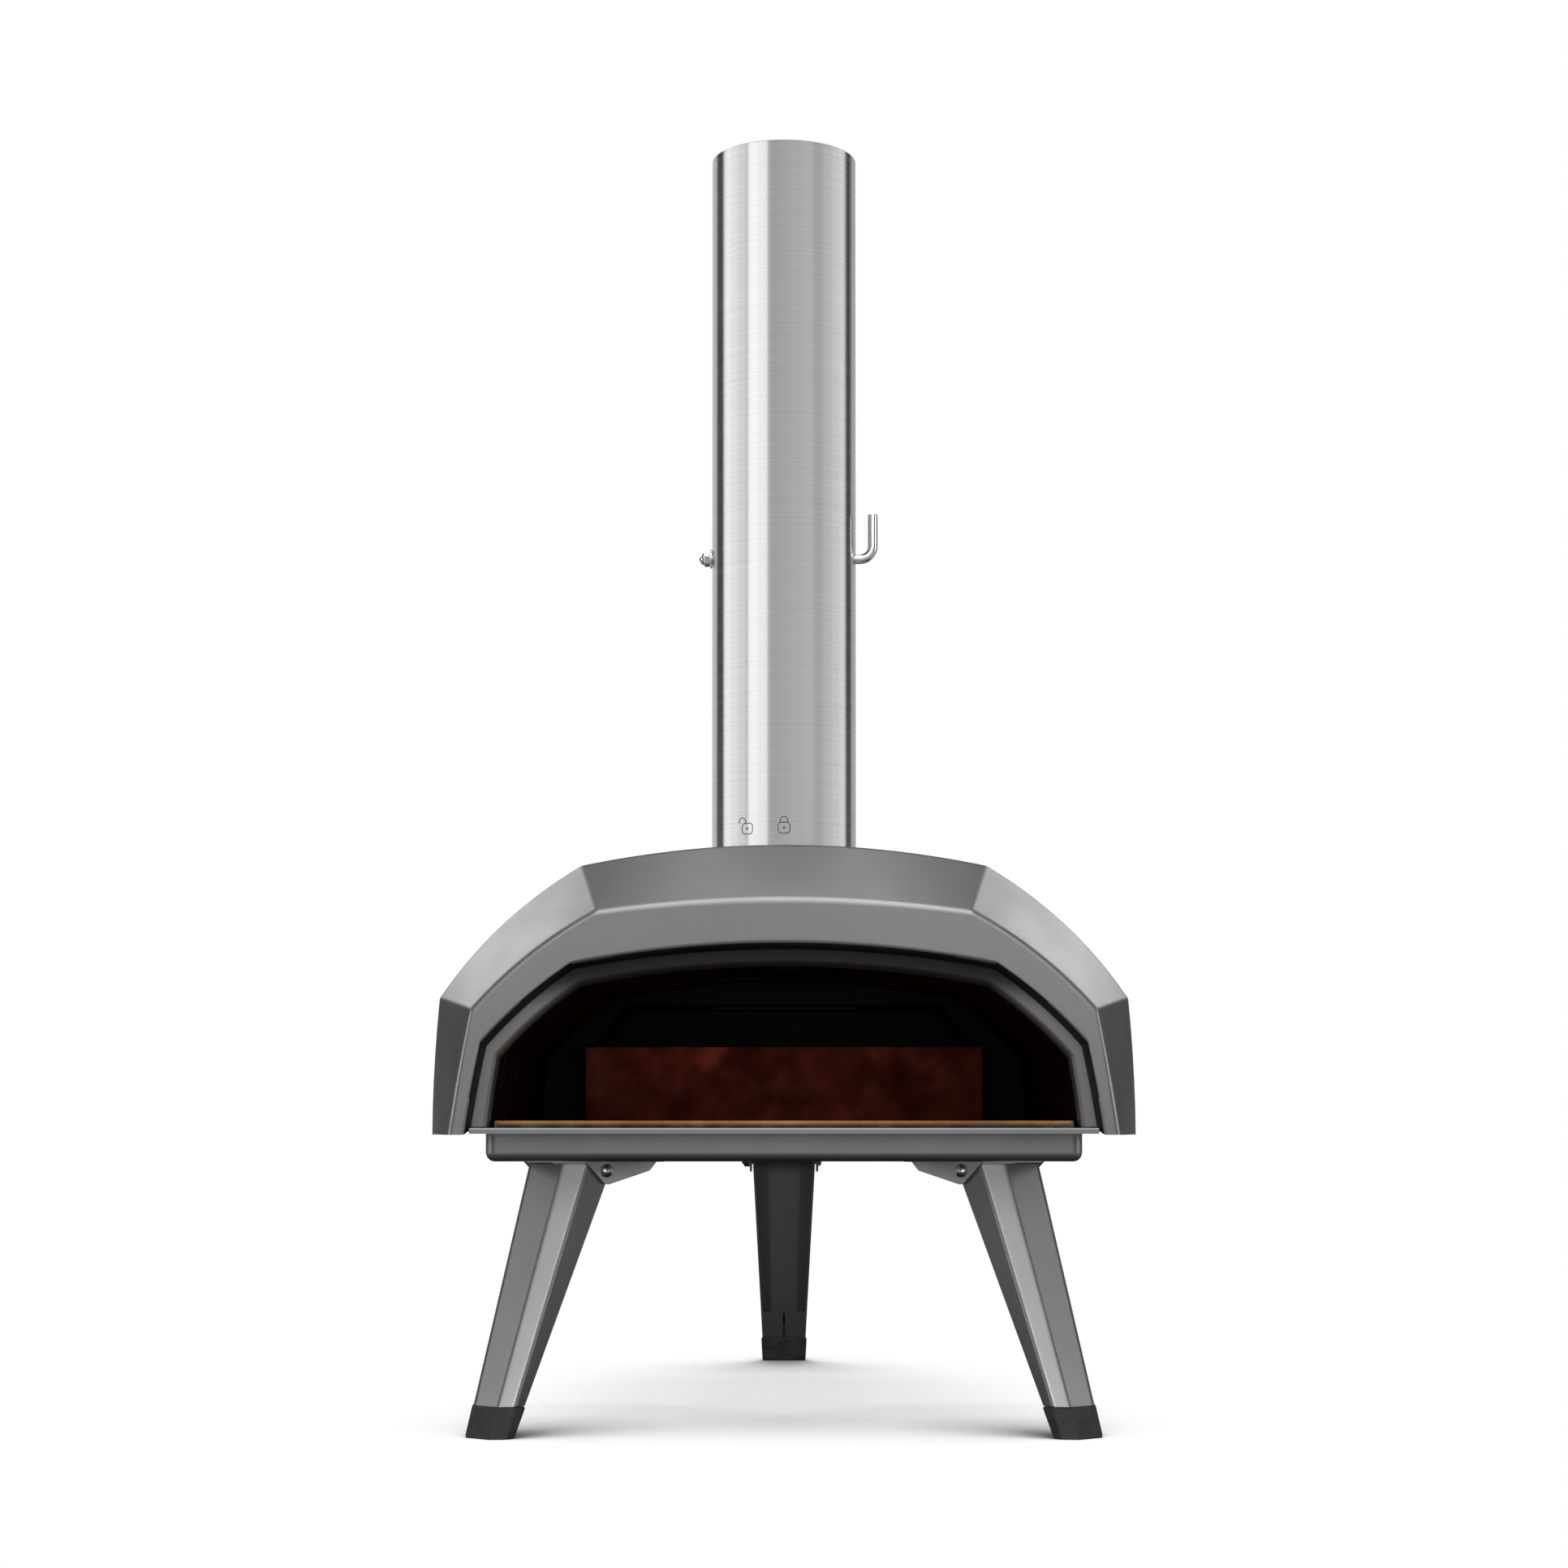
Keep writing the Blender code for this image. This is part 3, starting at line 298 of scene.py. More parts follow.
def collar_look():
    """Brushed stainless that the fire has blackened below the roof."""
    look = Look("half_smoked_stainless", 1.0, 0.32)
    streak = look.noise(1.0, stretch=(60.0, 60.0, 900.0), detail=4.0, rough=0.7)
    steel = look.ramp(streak, (0.58, 0.58, 0.585), (0.68, 0.68, 0.685), 0.25, 0.75)
    black = look.ramp(look.noise(30.0, detail=4.0), 0.008, 0.020)
    return look.done(look.mix(look.climb("Z", 0.300, 0.322), black, steel),
                     look.ramp(streak, 0.28, 0.40, 0.2, 0.8), (streak, 0.04, 0.00004))


def brushed_look():
    """Stainless tube with fine brushing round it, faint draw lines and a slightly uneven sheen."""
    look = Look("brushed_stainless", 1.0, 0.24, Anisotropic=0.9, Anisotropic_Rotation=0.25)
    streak = look.noise(1.0, stretch=(5.0, 5.0, 1500.0), detail=4.0, rough=0.7)
    broad = look.noise(1.0, stretch=(3.0, 3.0, 160.0))
    tone = look.ramp(streak, (0.60, 0.60, 0.605), (0.70, 0.70, 0.705), 0.25, 0.75)
    tangent = look.add("Tangent", direction_type="RADIAL", axis="Z").outputs["Tangent"]
    look.feed(look.shader.inputs["Tangent"], tangent)
    return look.done(look.mix(0.08, tone, look.ramp(broad, 0.90, 1.0), "MULTIPLY"),
                     look.ramp(streak, 0.20, 0.27, 0.2, 0.8), (streak, 0.04, 0.00003))


def liner_look():
    """Stainless sheet after some firings: brown heat tint under patchy soot."""
    look = Look("heat_darkened_steel", 0.75, 0.5)
    tint = look.noise(9.0, detail=5.0, distortion=0.6)
    tone = look.ramp(tint, (0.020, 0.014, 0.012), (0.060, 0.040, 0.030))
    soot = look.ramp(look.noise(16.0, detail=6.0, rough=0.65), 0.25, 1.0, 0.32, 0.60)
    return look.done(look.mix(0.8, tone, soot, "MULTIPLY"),
                     look.ramp(look.noise(30.0, detail=5.0), 0.42, 0.72),
                     (look.noise(60.0, detail=4.0), 0.08, 0.0006),
                     (look.noise(1500.0), 0.06, 0.0001))


def bright_look():
    """Polished stainless fasteners and rods, with fine turning marks and a few scuffs."""
    look = Look("bright_stainless", 1.0, 0.16)
    scuff = look.noise(260.0, stretch=(1.0, 1.0, 7.0), detail=5.0, rough=0.7)
    return look.done(look.ramp(scuff, (0.62, 0.62, 0.63), (0.78, 0.78, 0.79)),
                     look.ramp(scuff, 0.11, 0.24, 0.3, 0.75),
                     (look.noise(900.0, stretch=(1.0, 1.0, 4.0)), 0.03, 0.00005))


def rubber_look():
    """Matt moulded rubber with a fine spark-eroded texture and paler scuffs."""
    look = Look("moulded_rubber", 0.0, 0.72, Specular_IOR_Level=0.35)
    scuff = look.noise(95.0, detail=6.0, rough=0.7)
    return look.done(look.ramp(scuff, (0.022, 0.022, 0.023), (0.046, 0.045, 0.044), 0.35, 0.70),
                     look.ramp(scuff, 0.62, 0.82), (look.noise(1300.0), 0.25, 0.00015))


def stone_look():
    """Cordierite: buff with grains, pin holes and browned patches, and a scorched front edge with
    a painted shadow along its foot.
    """
    look = Look("cordierite", 0.0, 0.9, Specular_IOR_Level=0.25)
    browned = look.noise(11.0, detail=5.0, distortion=0.4)
    tone = look.ramp(browned, (0.27, 0.185, 0.115), (0.56, 0.45, 0.33), 0.34, 0.60)
    grains = look.ramp(look.noise(900.0, detail=2.0), 0.62, 1.12, 0.34, 0.64)
    holes = look.ramp(look.cells(420.0), 0.35, 1.0, 0.05, 0.16)
    pitted = look.mix(0.7, look.mix(0.8, tone, grains, "MULTIPLY"), holes, "MULTIPLY")
    hot = look.ramp(browned, (0.24, 0.095, 0.028), (0.42, 0.20, 0.07))
    # Painted shadow: below z 0.1783 the front edge is near black, where the stone meets the sill.
    # Above that it is scorched orange-brown.
    scorch_and_painted_shadow = look.mix(look.climb("Z", 0.1783, 0.1795), (0.010, 0.008, 0.007), hot)
    edge = look.climb("Y", RIDGE_Y - 0.0225, RIDGE_Y - 0.0262)
    ragged = look.mix(0.25, edge, look.cells(90.0), "MULTIPLY")
    return look.done(look.mix(ragged, pitted, scorch_and_painted_shadow), look.ramp(browned, 0.78, 0.94),
                     (look.noise(120.0, detail=4.0), 0.12, 0.0008),
                     (look.noise(1100.0), 0.35, 0.0003), (look.cells(420.0), 0.15, 0.0003))


def wool_look():
    """White ceramic fibre: matt, with matted strands."""
    look = Look("ceramic_fibre", 0.0, 0.95, Specular_IOR_Level=0.1)
    strands = look.noise(160.0, stretch=(1.0, 5.0, 2.0), detail=6.0, rough=0.7)
    return look.done(look.ramp(strands, (0.66, 0.64, 0.60), (0.86, 0.85, 0.82)), None,
                     (strands, 0.5, 0.002))


def etch_look():
    """Laser-darkened stainless."""
    look = Look("laser_mark", 0.6, 0.5)
    grit = look.noise(2400.0, detail=2.0)
    return look.done(look.ramp(grit, (0.04, 0.04, 0.04), (0.12, 0.12, 0.12)), None,
                     (grit, 0.1, 0.00005))


LOOKS = {GREY: coat_look(), BRUSHED: brushed_look(), LINER: liner_look(), BRIGHT: bright_look(),
         RUBBER: rubber_look(), STONE: stone_look(), WOOL: wool_look()}


# ---------------------------------------------------------------- pieces and bookkeeping
SHARP = math.radians(38)


def put(name, data):
    """Adds an object to the scene."""
    made = bpy.data.objects.new(name, data)
    bpy.context.scene.collection.objects.link(made)
    return made


def smooth(mesh):
    """Smooth shading that breaks at the sharp edges."""
    mesh.shade_smooth()
    mesh.set_sharp_from_angle(angle=SHARP)


def modify(obj, name, kind, **settings):
    made = obj.modifiers.new(name, kind)
    for key, value in settings.items():
        setattr(made, key, value)


def coat(obj, material, keep_sharp):
    """Gives a piece one material, and shading that its flat faces lead."""
    obj.data.materials.clear()
    obj.data.materials.append(material)
    modify(obj, "flat_faces_lead", "WEIGHTED_NORMAL", keep_sharp=keep_sharp)


def settle(obj, slot, body, stands_for=(), finish=None):
    """Gives a new piece its finish and its body, and hides the model's node that it stands for."""
    coat(obj, finish or LOOKS[slot], True)
    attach(obj, body)
    for node in stands_for:
        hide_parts(node)
    return obj


def finish_mesh(build, name, edge=0.0):
    """Turns a bmesh into an object whose faces look outward, with its sharp edges eased."""
    bmesh.ops.remove_doubles(build, verts=build.verts, dist=1e-6)
    bmesh.ops.recalc_face_normals(build, faces=build.faces)
    if build.calc_volume(signed=True) < 0:
        bmesh.ops.reverse_faces(build, faces=build.faces)
    if edge:
        sharp = [e for e in build.edges if len(e.link_faces) == 2 and e.calc_face_angle() > 0.9]
        bmesh.ops.bevel(build, geom=sharp, offset=edge, segments=2, profile=0.5, affect="EDGES",
                        clamp_overlap=True)
    mesh = bpy.data.meshes.new(name)
    build.to_mesh(mesh)
    build.free()
    smooth(mesh)
    return put(name, mesh)


def combine(target, others, operation):
    """Joins or cuts solids with exact Booleans, then drops the helpers."""
    for other in others:
        modify(target, operation, "BOOLEAN", operation=operation, solver="EXACT", object=other)
    bpy.context.view_layer.update()
    graph = bpy.context.evaluated_depsgraph_get()
    mesh = bpy.data.meshes.new_from_object(target.evaluated_get(graph))
    target.modifiers.clear()
    target.data = mesh
    smooth(mesh)
    for other in others:
        bpy.data.objects.remove(other)
    return target


def cut(target, *others):
    return combine(target, others, "DIFFERENCE")


def join(target, *others):
    return combine(target, others, "UNION")


def dress(node, finish, edge=0.0004):
    """Keeps a model's node: its flat triangles merge and its edges are eased."""
    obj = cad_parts[node]
    modify(obj, "weld", "WELD", merge_threshold=1e-6)
    modify(obj, "merge_flat", "DECIMATE", decimate_type="DISSOLVE", angle_limit=math.radians(0.4))
    if edge:
        modify(obj, "ease", "BEVEL", width=edge, segments=2, limit_method="ANGLE",
               angle_limit=math.radians(50), use_clamp_overlap=True)
    coat(obj, finish, False)


# ---------------------------------------------------------------- outlines
def bowed(a, b, bow, fractions):
    """Points from a to b that bulge to the right of travel by bow at mid-length."""
    along = b - a
    side = Vector((along.y, -along.x)).normalized()
    return [a + along * t + side * (4 * bow * t * (1 - t)) for t in fractions]


def spread(count, low=0.0, high=1.0):
    return [low + (high - low) * i / (count - 1) for i in range(count)]


def round_corner(before, corner, after, steps=6):
    """Points from before to after on the smooth bend that the corner pulls."""
    return [before * (1 - t) ** 2 + corner * (2 * t * (1 - t)) + after * t * t
            for t in spread(steps + 1)]


def arch(shape, inset=0.0, flange=None):
    """(x, z) points of an arched section, from the left foot over the crown to the right foot.

    A flange (inner x, height) turns each foot inward.
    """
    foot, side, shoulder = (Vector(shape[key]) for key in ("foot", "side", "shoulder"))
    rise = shape["crown"] - shoulder.y
    trims = [BEND / length for length in
             ((side - foot).length, (shoulder - side).length, shoulder.x)]
    lower = bowed(foot, side, shape["side_bow"], spread(6, 0.0, 1 - trims[0]))
    middle = bowed(side, shoulder, shape["shoulder_bow"], spread(14, trims[1], 1 - trims[1]))
    upper = []
    for t in spread(17, 1 - trims[2], 0.0)[:-1]:
        upper.append(Vector((shoulder.x * t, shape["crown"] - rise * t ** 2)))
    right = lower[:-1] + round_corner(lower[-1], side, middle[0]) + middle[1:-1]
    right += round_corner(middle[-1], shoulder, upper[0]) + upper[1:]
    left = [Vector((-p.x, p.y)) for p in right]
    path = left + [Vector((0.0, shape["crown"]))] + right[::-1]
    if inset:
        path = shifted(path, inset)
    if flange:
        path = with_flange(path, *flange)
    return path


def shifted(path, inset):
    """An open path moved inward (right of travel), with its two feet kept at their height."""
    moved = []
    for i, here in enumerate(path):
        ahead = (path[min(i + 1, len(path) - 1)] - here).normalized()
        behind = (here - path[max(i - 1, 0)]).normalized()
        normals = [Vector((d.y, -d.x)) for d in (ahead, behind) if d.length > 0.5]
        mean = sum(normals, Vector((0.0, 0.0))).normalized()
        moved.append(here + mean * (inset / max(0.5, mean.dot(normals[0]))))
    moved[0].y = path[0].y
    moved[-1].y = path[-1].y
    return moved


def with_flange(path, edge, height):
    """Turns the two feet of a section inward to x = edge, at a height."""
    reach = 0.0022
    out = []
    for sign, foot, above in ((-1, path[0], path[1]), (1, path[-1], path[-2])):
        corner = Vector((foot.x, height))
        start = corner + Vector((-sign * reach, 0.0))
        end = corner + (above - corner).normalized() * reach
        out.append([Vector((sign * edge, height))] + round_corner(start, corner, end))
    return out[0] + path[1:-1] + out[1][::-1]


def blend(a, b, t):
    """A section between two others."""
    mixed = {}
    for key, value in a.items():
        if isinstance(value, tuple):
            mixed[key] = tuple(p + (q - p) * t for p, q in zip(value, b[key]))
        else:
            mixed[key] = value + (b[key] - value) * t
    return mixed


def ring(shape, depth, inset=0.0, flange=None):
    """An arched section stood at a depth, as an array of points."""
    return np.array([(p.x, RIDGE_Y + depth, p.y) for p in arch(shape, inset, flange)])


def units(vectors):
    return vectors / np.linalg.norm(vectors, axis=-1, keepdims=True)


def bent(rows, reaches):
    """Rows of points with a smooth bend of the given reach in place of each listed corner row."""
    out = []
    for k, (row, reach) in enumerate(zip(rows, reaches)):
        if reach:
            start = row + units(rows[k - 1] - row) * reach
            end = row + units(rows[k + 1] - row) * reach
            out += round_corner(start, row, end)
        else:
            out.append(row)
    return out


def fillet(before, corner, after, radius):
    """The centre, start and end of the arc that rounds a corner."""
    corner = Vector(corner)
    back = (Vector(before) - corner).normalized()
    ahead = (Vector(after) - corner).normalized()
    half = back.angle(ahead) / 2
    reach = radius / math.tan(half)
    centre = corner + (back + ahead).normalized() * (radius / math.sin(half))
    return centre, corner + back * reach, corner + ahead * reach


def rounded(points, radii, steps=6):
    """A closed outline with each corner of non-zero radius replaced by an arc of points."""
    out = []
    for i, corner in enumerate(points):
        radius = radii[i] if isinstance(radii, list) else radii
        if radius == 0:
            out.append(Vector(corner))
            continue
        centre, start, end = fillet(points[i - 1], corner, points[(i + 1) % len(points)], radius)
        for k in range(steps + 1):
            out.append(centre + (start.lerp(end, k / steps) - centre).normalized() * radius)
    return out


def grown(points, by):
    """A closed anticlockwise outline moved outward by a distance (inward when negative)."""
    out = []
    for i, here in enumerate(points):
        here = Vector(here)
        first = (here - Vector(points[i - 1])).normalized()
        second = (Vector(points[(i + 1) % len(points)]) - here).normalized()
        n1, n2 = Vector((first.y, -first.x)), Vector((second.y, -second.x))
        mean = (n1 + n2).normalized()
        out.append(here + mean * (by / mean.dot(n1)))
    return out


def rect(low, high):
    """The corners of an upright rectangle, anticlockwise."""
    return [(low[0], low[1]), (high[0], low[1]), (high[0], high[1]), (low[0], high[1])]


def plan_level(outline, height):
    """A plan outline of (x, depth) points, stood at a height."""
    return [Vector((p[0], RIDGE_Y + p[1], height)) for p in outline]


def dome(radius, rise, base, angles):
    """(radius, height) points on a dome, at angles up from its foot."""
    return [(radius * math.cos(a) if a < RIGHT_ANGLE - 0.001 else 0.0, base + rise * math.sin(a))
            for a in angles]


# ---------------------------------------------------------------- solids
def stitch(build, a, b, closed=True):
    """Faces between two rows of points, or between a row and one point."""
    count = max(len(a), len(b))
    for i in range(count if closed else count - 1):
        j = (i + 1) % count
        corners = (a[i % len(a)], a[j % len(a)], b[j % len(b)], b[i % len(b)])
        build.faces.new(list(dict.fromkeys(corners)))


def sheet(name, rows, thickness, edge=0.0004, level_feet=True):
    """Bent sheet metal: rows of points on its outer face, and an inner face at a thickness."""
    outer = np.array(rows)
    down = np.gradient(outer, axis=0)
    across = np.gradient(outer, axis=1)
    normal = units(np.cross(across, down))
    centre = outer.reshape(-1, 3).mean(axis=0)
    middle = (outer.shape[0] // 2, outer.shape[1] // 2)
    if np.dot(normal[middle], outer[middle] - centre) < 0:
        normal = -normal
    inner = outer - normal * thickness
    if level_feet:
        inner[:, 0, 2] = outer[:, 0, 2]
        inner[:, -1, 2] = outer[:, -1, 2]
    build = bmesh.new()
    a, b = ([[build.verts.new(p) for p in row] for row in side] for side in (outer, inner))
    for grid in (a, b):
        for upper, lower in zip(grid, grid[1:]):
            stitch(build, upper, lower, False)
    for end in (0, -1):
        stitch(build, [row[end] for row in a], [row[end] for row in b], False)
        stitch(build, a[end], b[end], False)
    return finish_mesh(build, name, edge)


def loft(name, outlines, edge=0.0):
    """A solid through closed outlines of equal length, with flat ends."""
    build = bmesh.new()
    rows = [[build.verts.new(p) for p in points] for points in outlines]
    for a, b in zip(rows, rows[1:]):
        stitch(build, a, b)
    build.faces.new(rows[0][::-1])
    build.faces.new(rows[-1])
    return finish_mesh(build, name, edge)


def slab(name, outline, place, low, high, edge=0.0):
    """An outline (p, q) pushed from low to high along the third of three frame directions."""
    origin, across, up, normal = (Vector(v) for v in place)
    ends = []
    for level in (low, high):
        ends.append([origin + across * p[0] + up * p[1] + normal * level for p in outline])
    return loft(name, ends, edge)


def box(name, low, high, edge=0.0):
    """A block between two corners, each (x, depth, z)."""
    plan = ((0, RIDGE_Y, 0), (1, 0, 0), (0, 1, 0), (0, 0, 1))
    return slab(name, rect(low, high), plan, low[2], high[2], edge)


def turned(name, profile, origin, axis, segments=64, edge=0.0):
    """A (radius, height) profile turned about an axis: a loop, or closed by points on the axis."""
    axis = Vector(axis).normalized()
    across = axis.orthogonal().normalized() if abs(axis.z) < 0.9 else Vector((1, 0, 0))
    up = axis.cross(across)
    build = bmesh.new()
    rows = []
    for radius, height in profile:
        arms = [across * math.cos(a) + up * math.sin(a) for a in turn_of(segments)]
        rows.append([build.verts.new(Vector(origin) + axis * height + arm * radius)
                     for arm in (arms if radius else arms[:1])])
    pairs = list(zip(rows, rows[1:]))
    if profile[0][0] > 0:
        pairs.append((rows[-1], rows[0]))
    for a, b in pairs:
        stitch(build, a, b)
    return finish_mesh(build, name, edge)


def turn_of(count):
    """Angles evenly round a full turn."""
    return [2 * math.pi * i / count for i in range(count)]


def rod_of(start, end, radius, segments=32):
    along = end - start
    profile = [(0, 0), (radius, 0), (radius, along.length), (0, along.length)]
    return turned("rod", profile, start, along, segments)


def bent_rod(name, corners, radius, bend, segments=28, steps=14):
    """A round rod along a path whose corners are bent to a radius, with slightly dished ends."""
    points = [Vector(corners[0])]
    for before, here, after in zip(corners, corners[1:], corners[2:]):
        centre, start, end = fillet(before, here, after, bend)
        first, last = (start - centre).normalized(), (end - centre).normalized()
        points += [centre + first.slerp(last, k / steps) * bend for k in range(steps + 1)]
    points.append(Vector(corners[-1]))
    start_dir = (points[1] - points[0]).normalized()
    end_dir = (points[-1] - points[-2]).normalized()
    dish = radius * 0.35

    def tip(point, inward):
        slopes = [dish * (1 - math.sin(a)) for a in spread(5, 0.0, RIGHT_ANGLE)[:-1]]
        return [(point + inward * slope, radius - slope) for slope in slopes] + \
            [(point + inward * dish, radius)]

    path = [(*level, start_dir) for level in tip(points[0], start_dir)]
    for a, b, c in zip(points, points[1:], points[2:]):
        path.append((b, radius, ((b - a).normalized() + (c - b).normalized()).normalized()))
    path += [(*level, end_dir) for level in tip(points[-1], -end_dir)[::-1]]
    side = start_dir.orthogonal().normalized()
    outlines = []
    for centre, size, along in path:
        side = (side - along * side.dot(along)).normalized()
        up = along.cross(side)
        outlines.append([centre + (side * math.cos(a) + up * math.sin(a)) * size
                         for a in turn_of(segments)])
    return loft(name, outlines)


# ---------------------------------------------------------------- hood, mouth frame, shell
def make_hood():
    slope = [ring(blend(RIDGE, LIP, t), LIP_DEPTH * t) for t in (0.25, 0.5, 0.75)]
    rows = [ring(RIDGE, HOOD_BACK), ring(RIDGE, 0.0), *slope, ring(LIP, LIP_DEPTH),
            ring(FACE, LIP_DEPTH), ring(RETURN, RETURN_BACK, 0.0026)]
    reaches = [0, 0.0022, 0, 0, 0, 0.0034, 0.0026, 0]
    hood = sheet("hood", bent(rows, reaches), SHEET, 0.0003)
    settle(hood, GREY, "oven", ["front_hood"])
    # Faces turned in towards the fire get a near-black coat: painted shade in the hood's return,
    # with some soot.
    hood.data.materials.append(shaded_look())
    for face in hood.data.polygons:
        inward = Vector((-face.center.x, 0, 0.20 - face.center.z)).normalized()
        if face.normal.dot(inward) > 0.55:
            face.material_index = 1


def make_mouth_frame():
    rows = [ring(RETURN, FRAME_DEPTH, -0.0040), ring(MOUTH, FRAME_DEPTH), ring(MOUTH, FRAME_BACK)]
    surround = sheet("mouth_surround", bent(rows, [0, 0.0019, 0]), THIN, 0.0003)
    # The frame gets painted shade, darker towards its arch, where the hood overhangs it.
    settle(surround, GREY, "oven", ["mouth_frame"], frame_shade_and_smoke_look())


def make_shell():
    lap = 0.0019
    flange = (0.1755, PAN_TOP)
    stations = [(RIDGE, SHELL_FRONT)] + [(RIDGE, SHELL_KNEE * t) for t in (0.25, 0.5, 0.75, 1.0)]
    stations += [(blend(RIDGE, REAR, 0.5), (SHELL_KNEE + SHELL_BACK) / 2), (REAR, SHELL_BACK)]
    rows = [ring(shape, depth, lap, flange) for shape, depth in stations]
    shell = sheet("shell", bent(rows, [0, 0, 0, 0, 0.012, 0, 0]), SHEET, 0.0003, False)
    base = Vector((0, RIDGE_Y + FLUE_DEPTH, 0.30))
    cut(shell, rod_of(base, base + Vector((0, 0, 0.06)), 0.0443, segments=96))
    settle(shell, GREY, "oven", ["outer_shell"])


# ---------------------------------------------------------------- pan, sill, stone
def make_pan():
    half, neck = PAN_HALF, PAN_NECK
    plan = [(-half, PAN_FRONT), (half, PAN_FRONT), (half, PAN_KNEE), (neck, PAN_BACK),
            (-neck, PAN_BACK), (-half, PAN_KNEE)]
    radii = [0.0065, 0.0065, 0.02, 0.012, 0.012, 0.02]
    rim_half = half + 0.007
    rim = [(-rim_half, -0.0413), (rim_half, -0.0413), (rim_half, PAN_KNEE + 0.002),
           (neck + 0.003, PAN_BACK + 0.007), (-neck - 0.003, PAN_BACK + 0.007),
           (-rim_half, PAN_KNEE + 0.002)]
    rim_radii = [0.002, 0.002, 0.02, 0.014, 0.014, 0.02]
    outline, rim = rounded(plan, radii), rounded(rim, rim_radii)
    turn = spread(9, 0.0, RIGHT_ANGLE)
    radius, wall = 0.0052, 0.0015

    def level(inset, height):
        return plan_level(grown(outline, -inset), height)

    levels = [level(0.030, PAN_BOTTOM)]
    for a in turn:
        levels.append(level(radius * (1 - math.sin(a)), PAN_BOTTOM + radius * (1 - math.cos(a))))
    levels += [level(0.0, PAN_TOP), plan_level(rim, PAN_TOP), plan_level(rim, PAN_TOP + THIN),
               level(wall, PAN_TOP + THIN)]
    inner = radius - wall
    for a in turn[::-1]:
        levels.append(level(wall + inner * (1 - math.sin(a)),
                            PAN_BOTTOM + wall + inner * (1 - math.cos(a))))
    levels.append(level(0.030, PAN_BOTTOM + wall))
    settle(loft("pan", levels, 0.0003), GREY, "oven", ["base_pan"])


def make_sill():
    """The floor plate: a flat sheet with a turned-down front lip, open under the stone."""
    front, back, half = -0.0436, 0.4285, 0.1743
    low, under, top, bend = 0.1736, 0.1760, 0.1770, 0.0011
    profile = [(front, low), (front, top - bend)]
    for a in spread(6, 0.0, RIGHT_ANGLE)[1:]:
        profile.append((front + bend * (1 - math.cos(a)), top - bend * (1 - math.sin(a))))
    profile += [(back, top), (back, under), (front + bend + 0.0001, under),
                (front + THIN, under - 0.0003), (front + THIN, low)]
    across = ((0, RIDGE_Y, 0), (0, 1, 0), (0, 0, 1), (1, 0, 0))
    plate = slab("sill", profile, across, -half, half)
    cut(plate, box("window", (-0.164, -0.028, 0.17), (0.164, 0.300, 0.18)))
    settle(plate, GREY, "oven", ["sill_plate"])


def make_stone():
    half, front, top, thick = 0.1625, -0.0265, 0.1808, 0.010
    outline = rounded(rect((-half, front), (half, front + 2 * half)), 0.0045)
    edge = 0.0009
    arc = spread(5, 0.0, RIGHT_ANGLE)
    levels = []
    for base, angles in ((top - thick + edge, [-a for a in arc[::-1]]), (top - edge, arc)):
        for a in angles:
            levels.append(plan_level(grown(outline, -edge * (1 - math.cos(a))),
                                     base + edge * math.sin(a)))
    settle(loft("stone", levels), STONE, "baking_stone", ["baking_stone"])


# ---------------------------------------------------------------- chimney and damper
def flue(x=0.0, y=0.0, z=0.0):
    return Vector((x, RIDGE_Y + FLUE_DEPTH + y, z))


def roof_height(x):
    rise = RIDGE["crown"] - RIDGE["shoulder"][1]
    return RIDGE["crown"] - 0.0019 - rise * (x / RIDGE["shoulder"][0]) ** 2


def make_collar():
    """A pressed saddle flange that follows the roof and rises into the chimney's seat."""
    gap, spigot, bore, top = CLEAR, 0.0437, 0.0425, 0.385
    rows = [(0.0596, 1, gap), (0.0600, 1, gap + 0.0004), (0.0600, 1, gap + 0.0009),
            (0.0596, 1, gap + 0.0013), (0.0502, 1, gap + 0.0014), (0.0487, 1, gap + 0.0018),
            (0.0476, 1, gap + 0.0028), (0.0470, 1, gap + 0.0042), (0.0465, 0, FLUE_BASE - 0.0014),
            (0.0462, 0, FLUE_BASE - 0.0007), (0.0457, 0, FLUE_BASE - gap),
            (spigot, 0, FLUE_BASE - gap), (spigot, 0, top - 0.0005), (spigot - 0.0004, 0, top),
            (bore + 0.0003, 0, top), (bore, 0, top - 0.0005), (bore, 0, 0.2765),
            (spigot, 0, 0.2765), (spigot, 1, -0.0030), (spigot + 0.0001, 1, gap)]
    build = bmesh.new()
    loops = []
    for radius, on_roof, height in rows:
        loop = []
        for angle in turn_of(128):
            x = radius * math.cos(angle)
            z = height + (roof_height(x) if on_roof else 0.0)
            loop.append(build.verts.new(flue(x, radius * math.sin(angle), z)))
        loops.append(loop)
    for a, b in zip(loops, loops[1:] + loops[:1]):
        stitch(build, a, b)
    settle(finish_mesh(build, "collar"), BRUSHED, "oven", ["chimney_collar"], collar_look())
    for k in range(4):
        angle = math.radians(45 + 90 * k)
        x, y = 0.0545 * math.cos(angle), 0.0545 * math.sin(angle)
        profile = [(0, 0), (0.0026, 0)] + dome(0.0026, 0.0014, 0.0004, spread(7, 0, RIGHT_ANGLE))
        rivet = turned(f"rivet_{k + 1}", profile, flue(x, y, roof_height(x) + 0.0020),
                       (0, 0, 1), 32)
        settle(rivet, BRIGHT, "oven", [f"collar_rivet_{k + 1}"])


def eased_band(inner, outer, low, high, ease):
    """The closed (radius, height) profile of a band with its corners cut, up its outside."""
    return [(inner, low + ease), (inner + ease, low), (outer - ease, low), (outer, low + ease),
            (outer, high - ease), (outer - ease, high), (inner + ease, high), (inner, high - ease)]


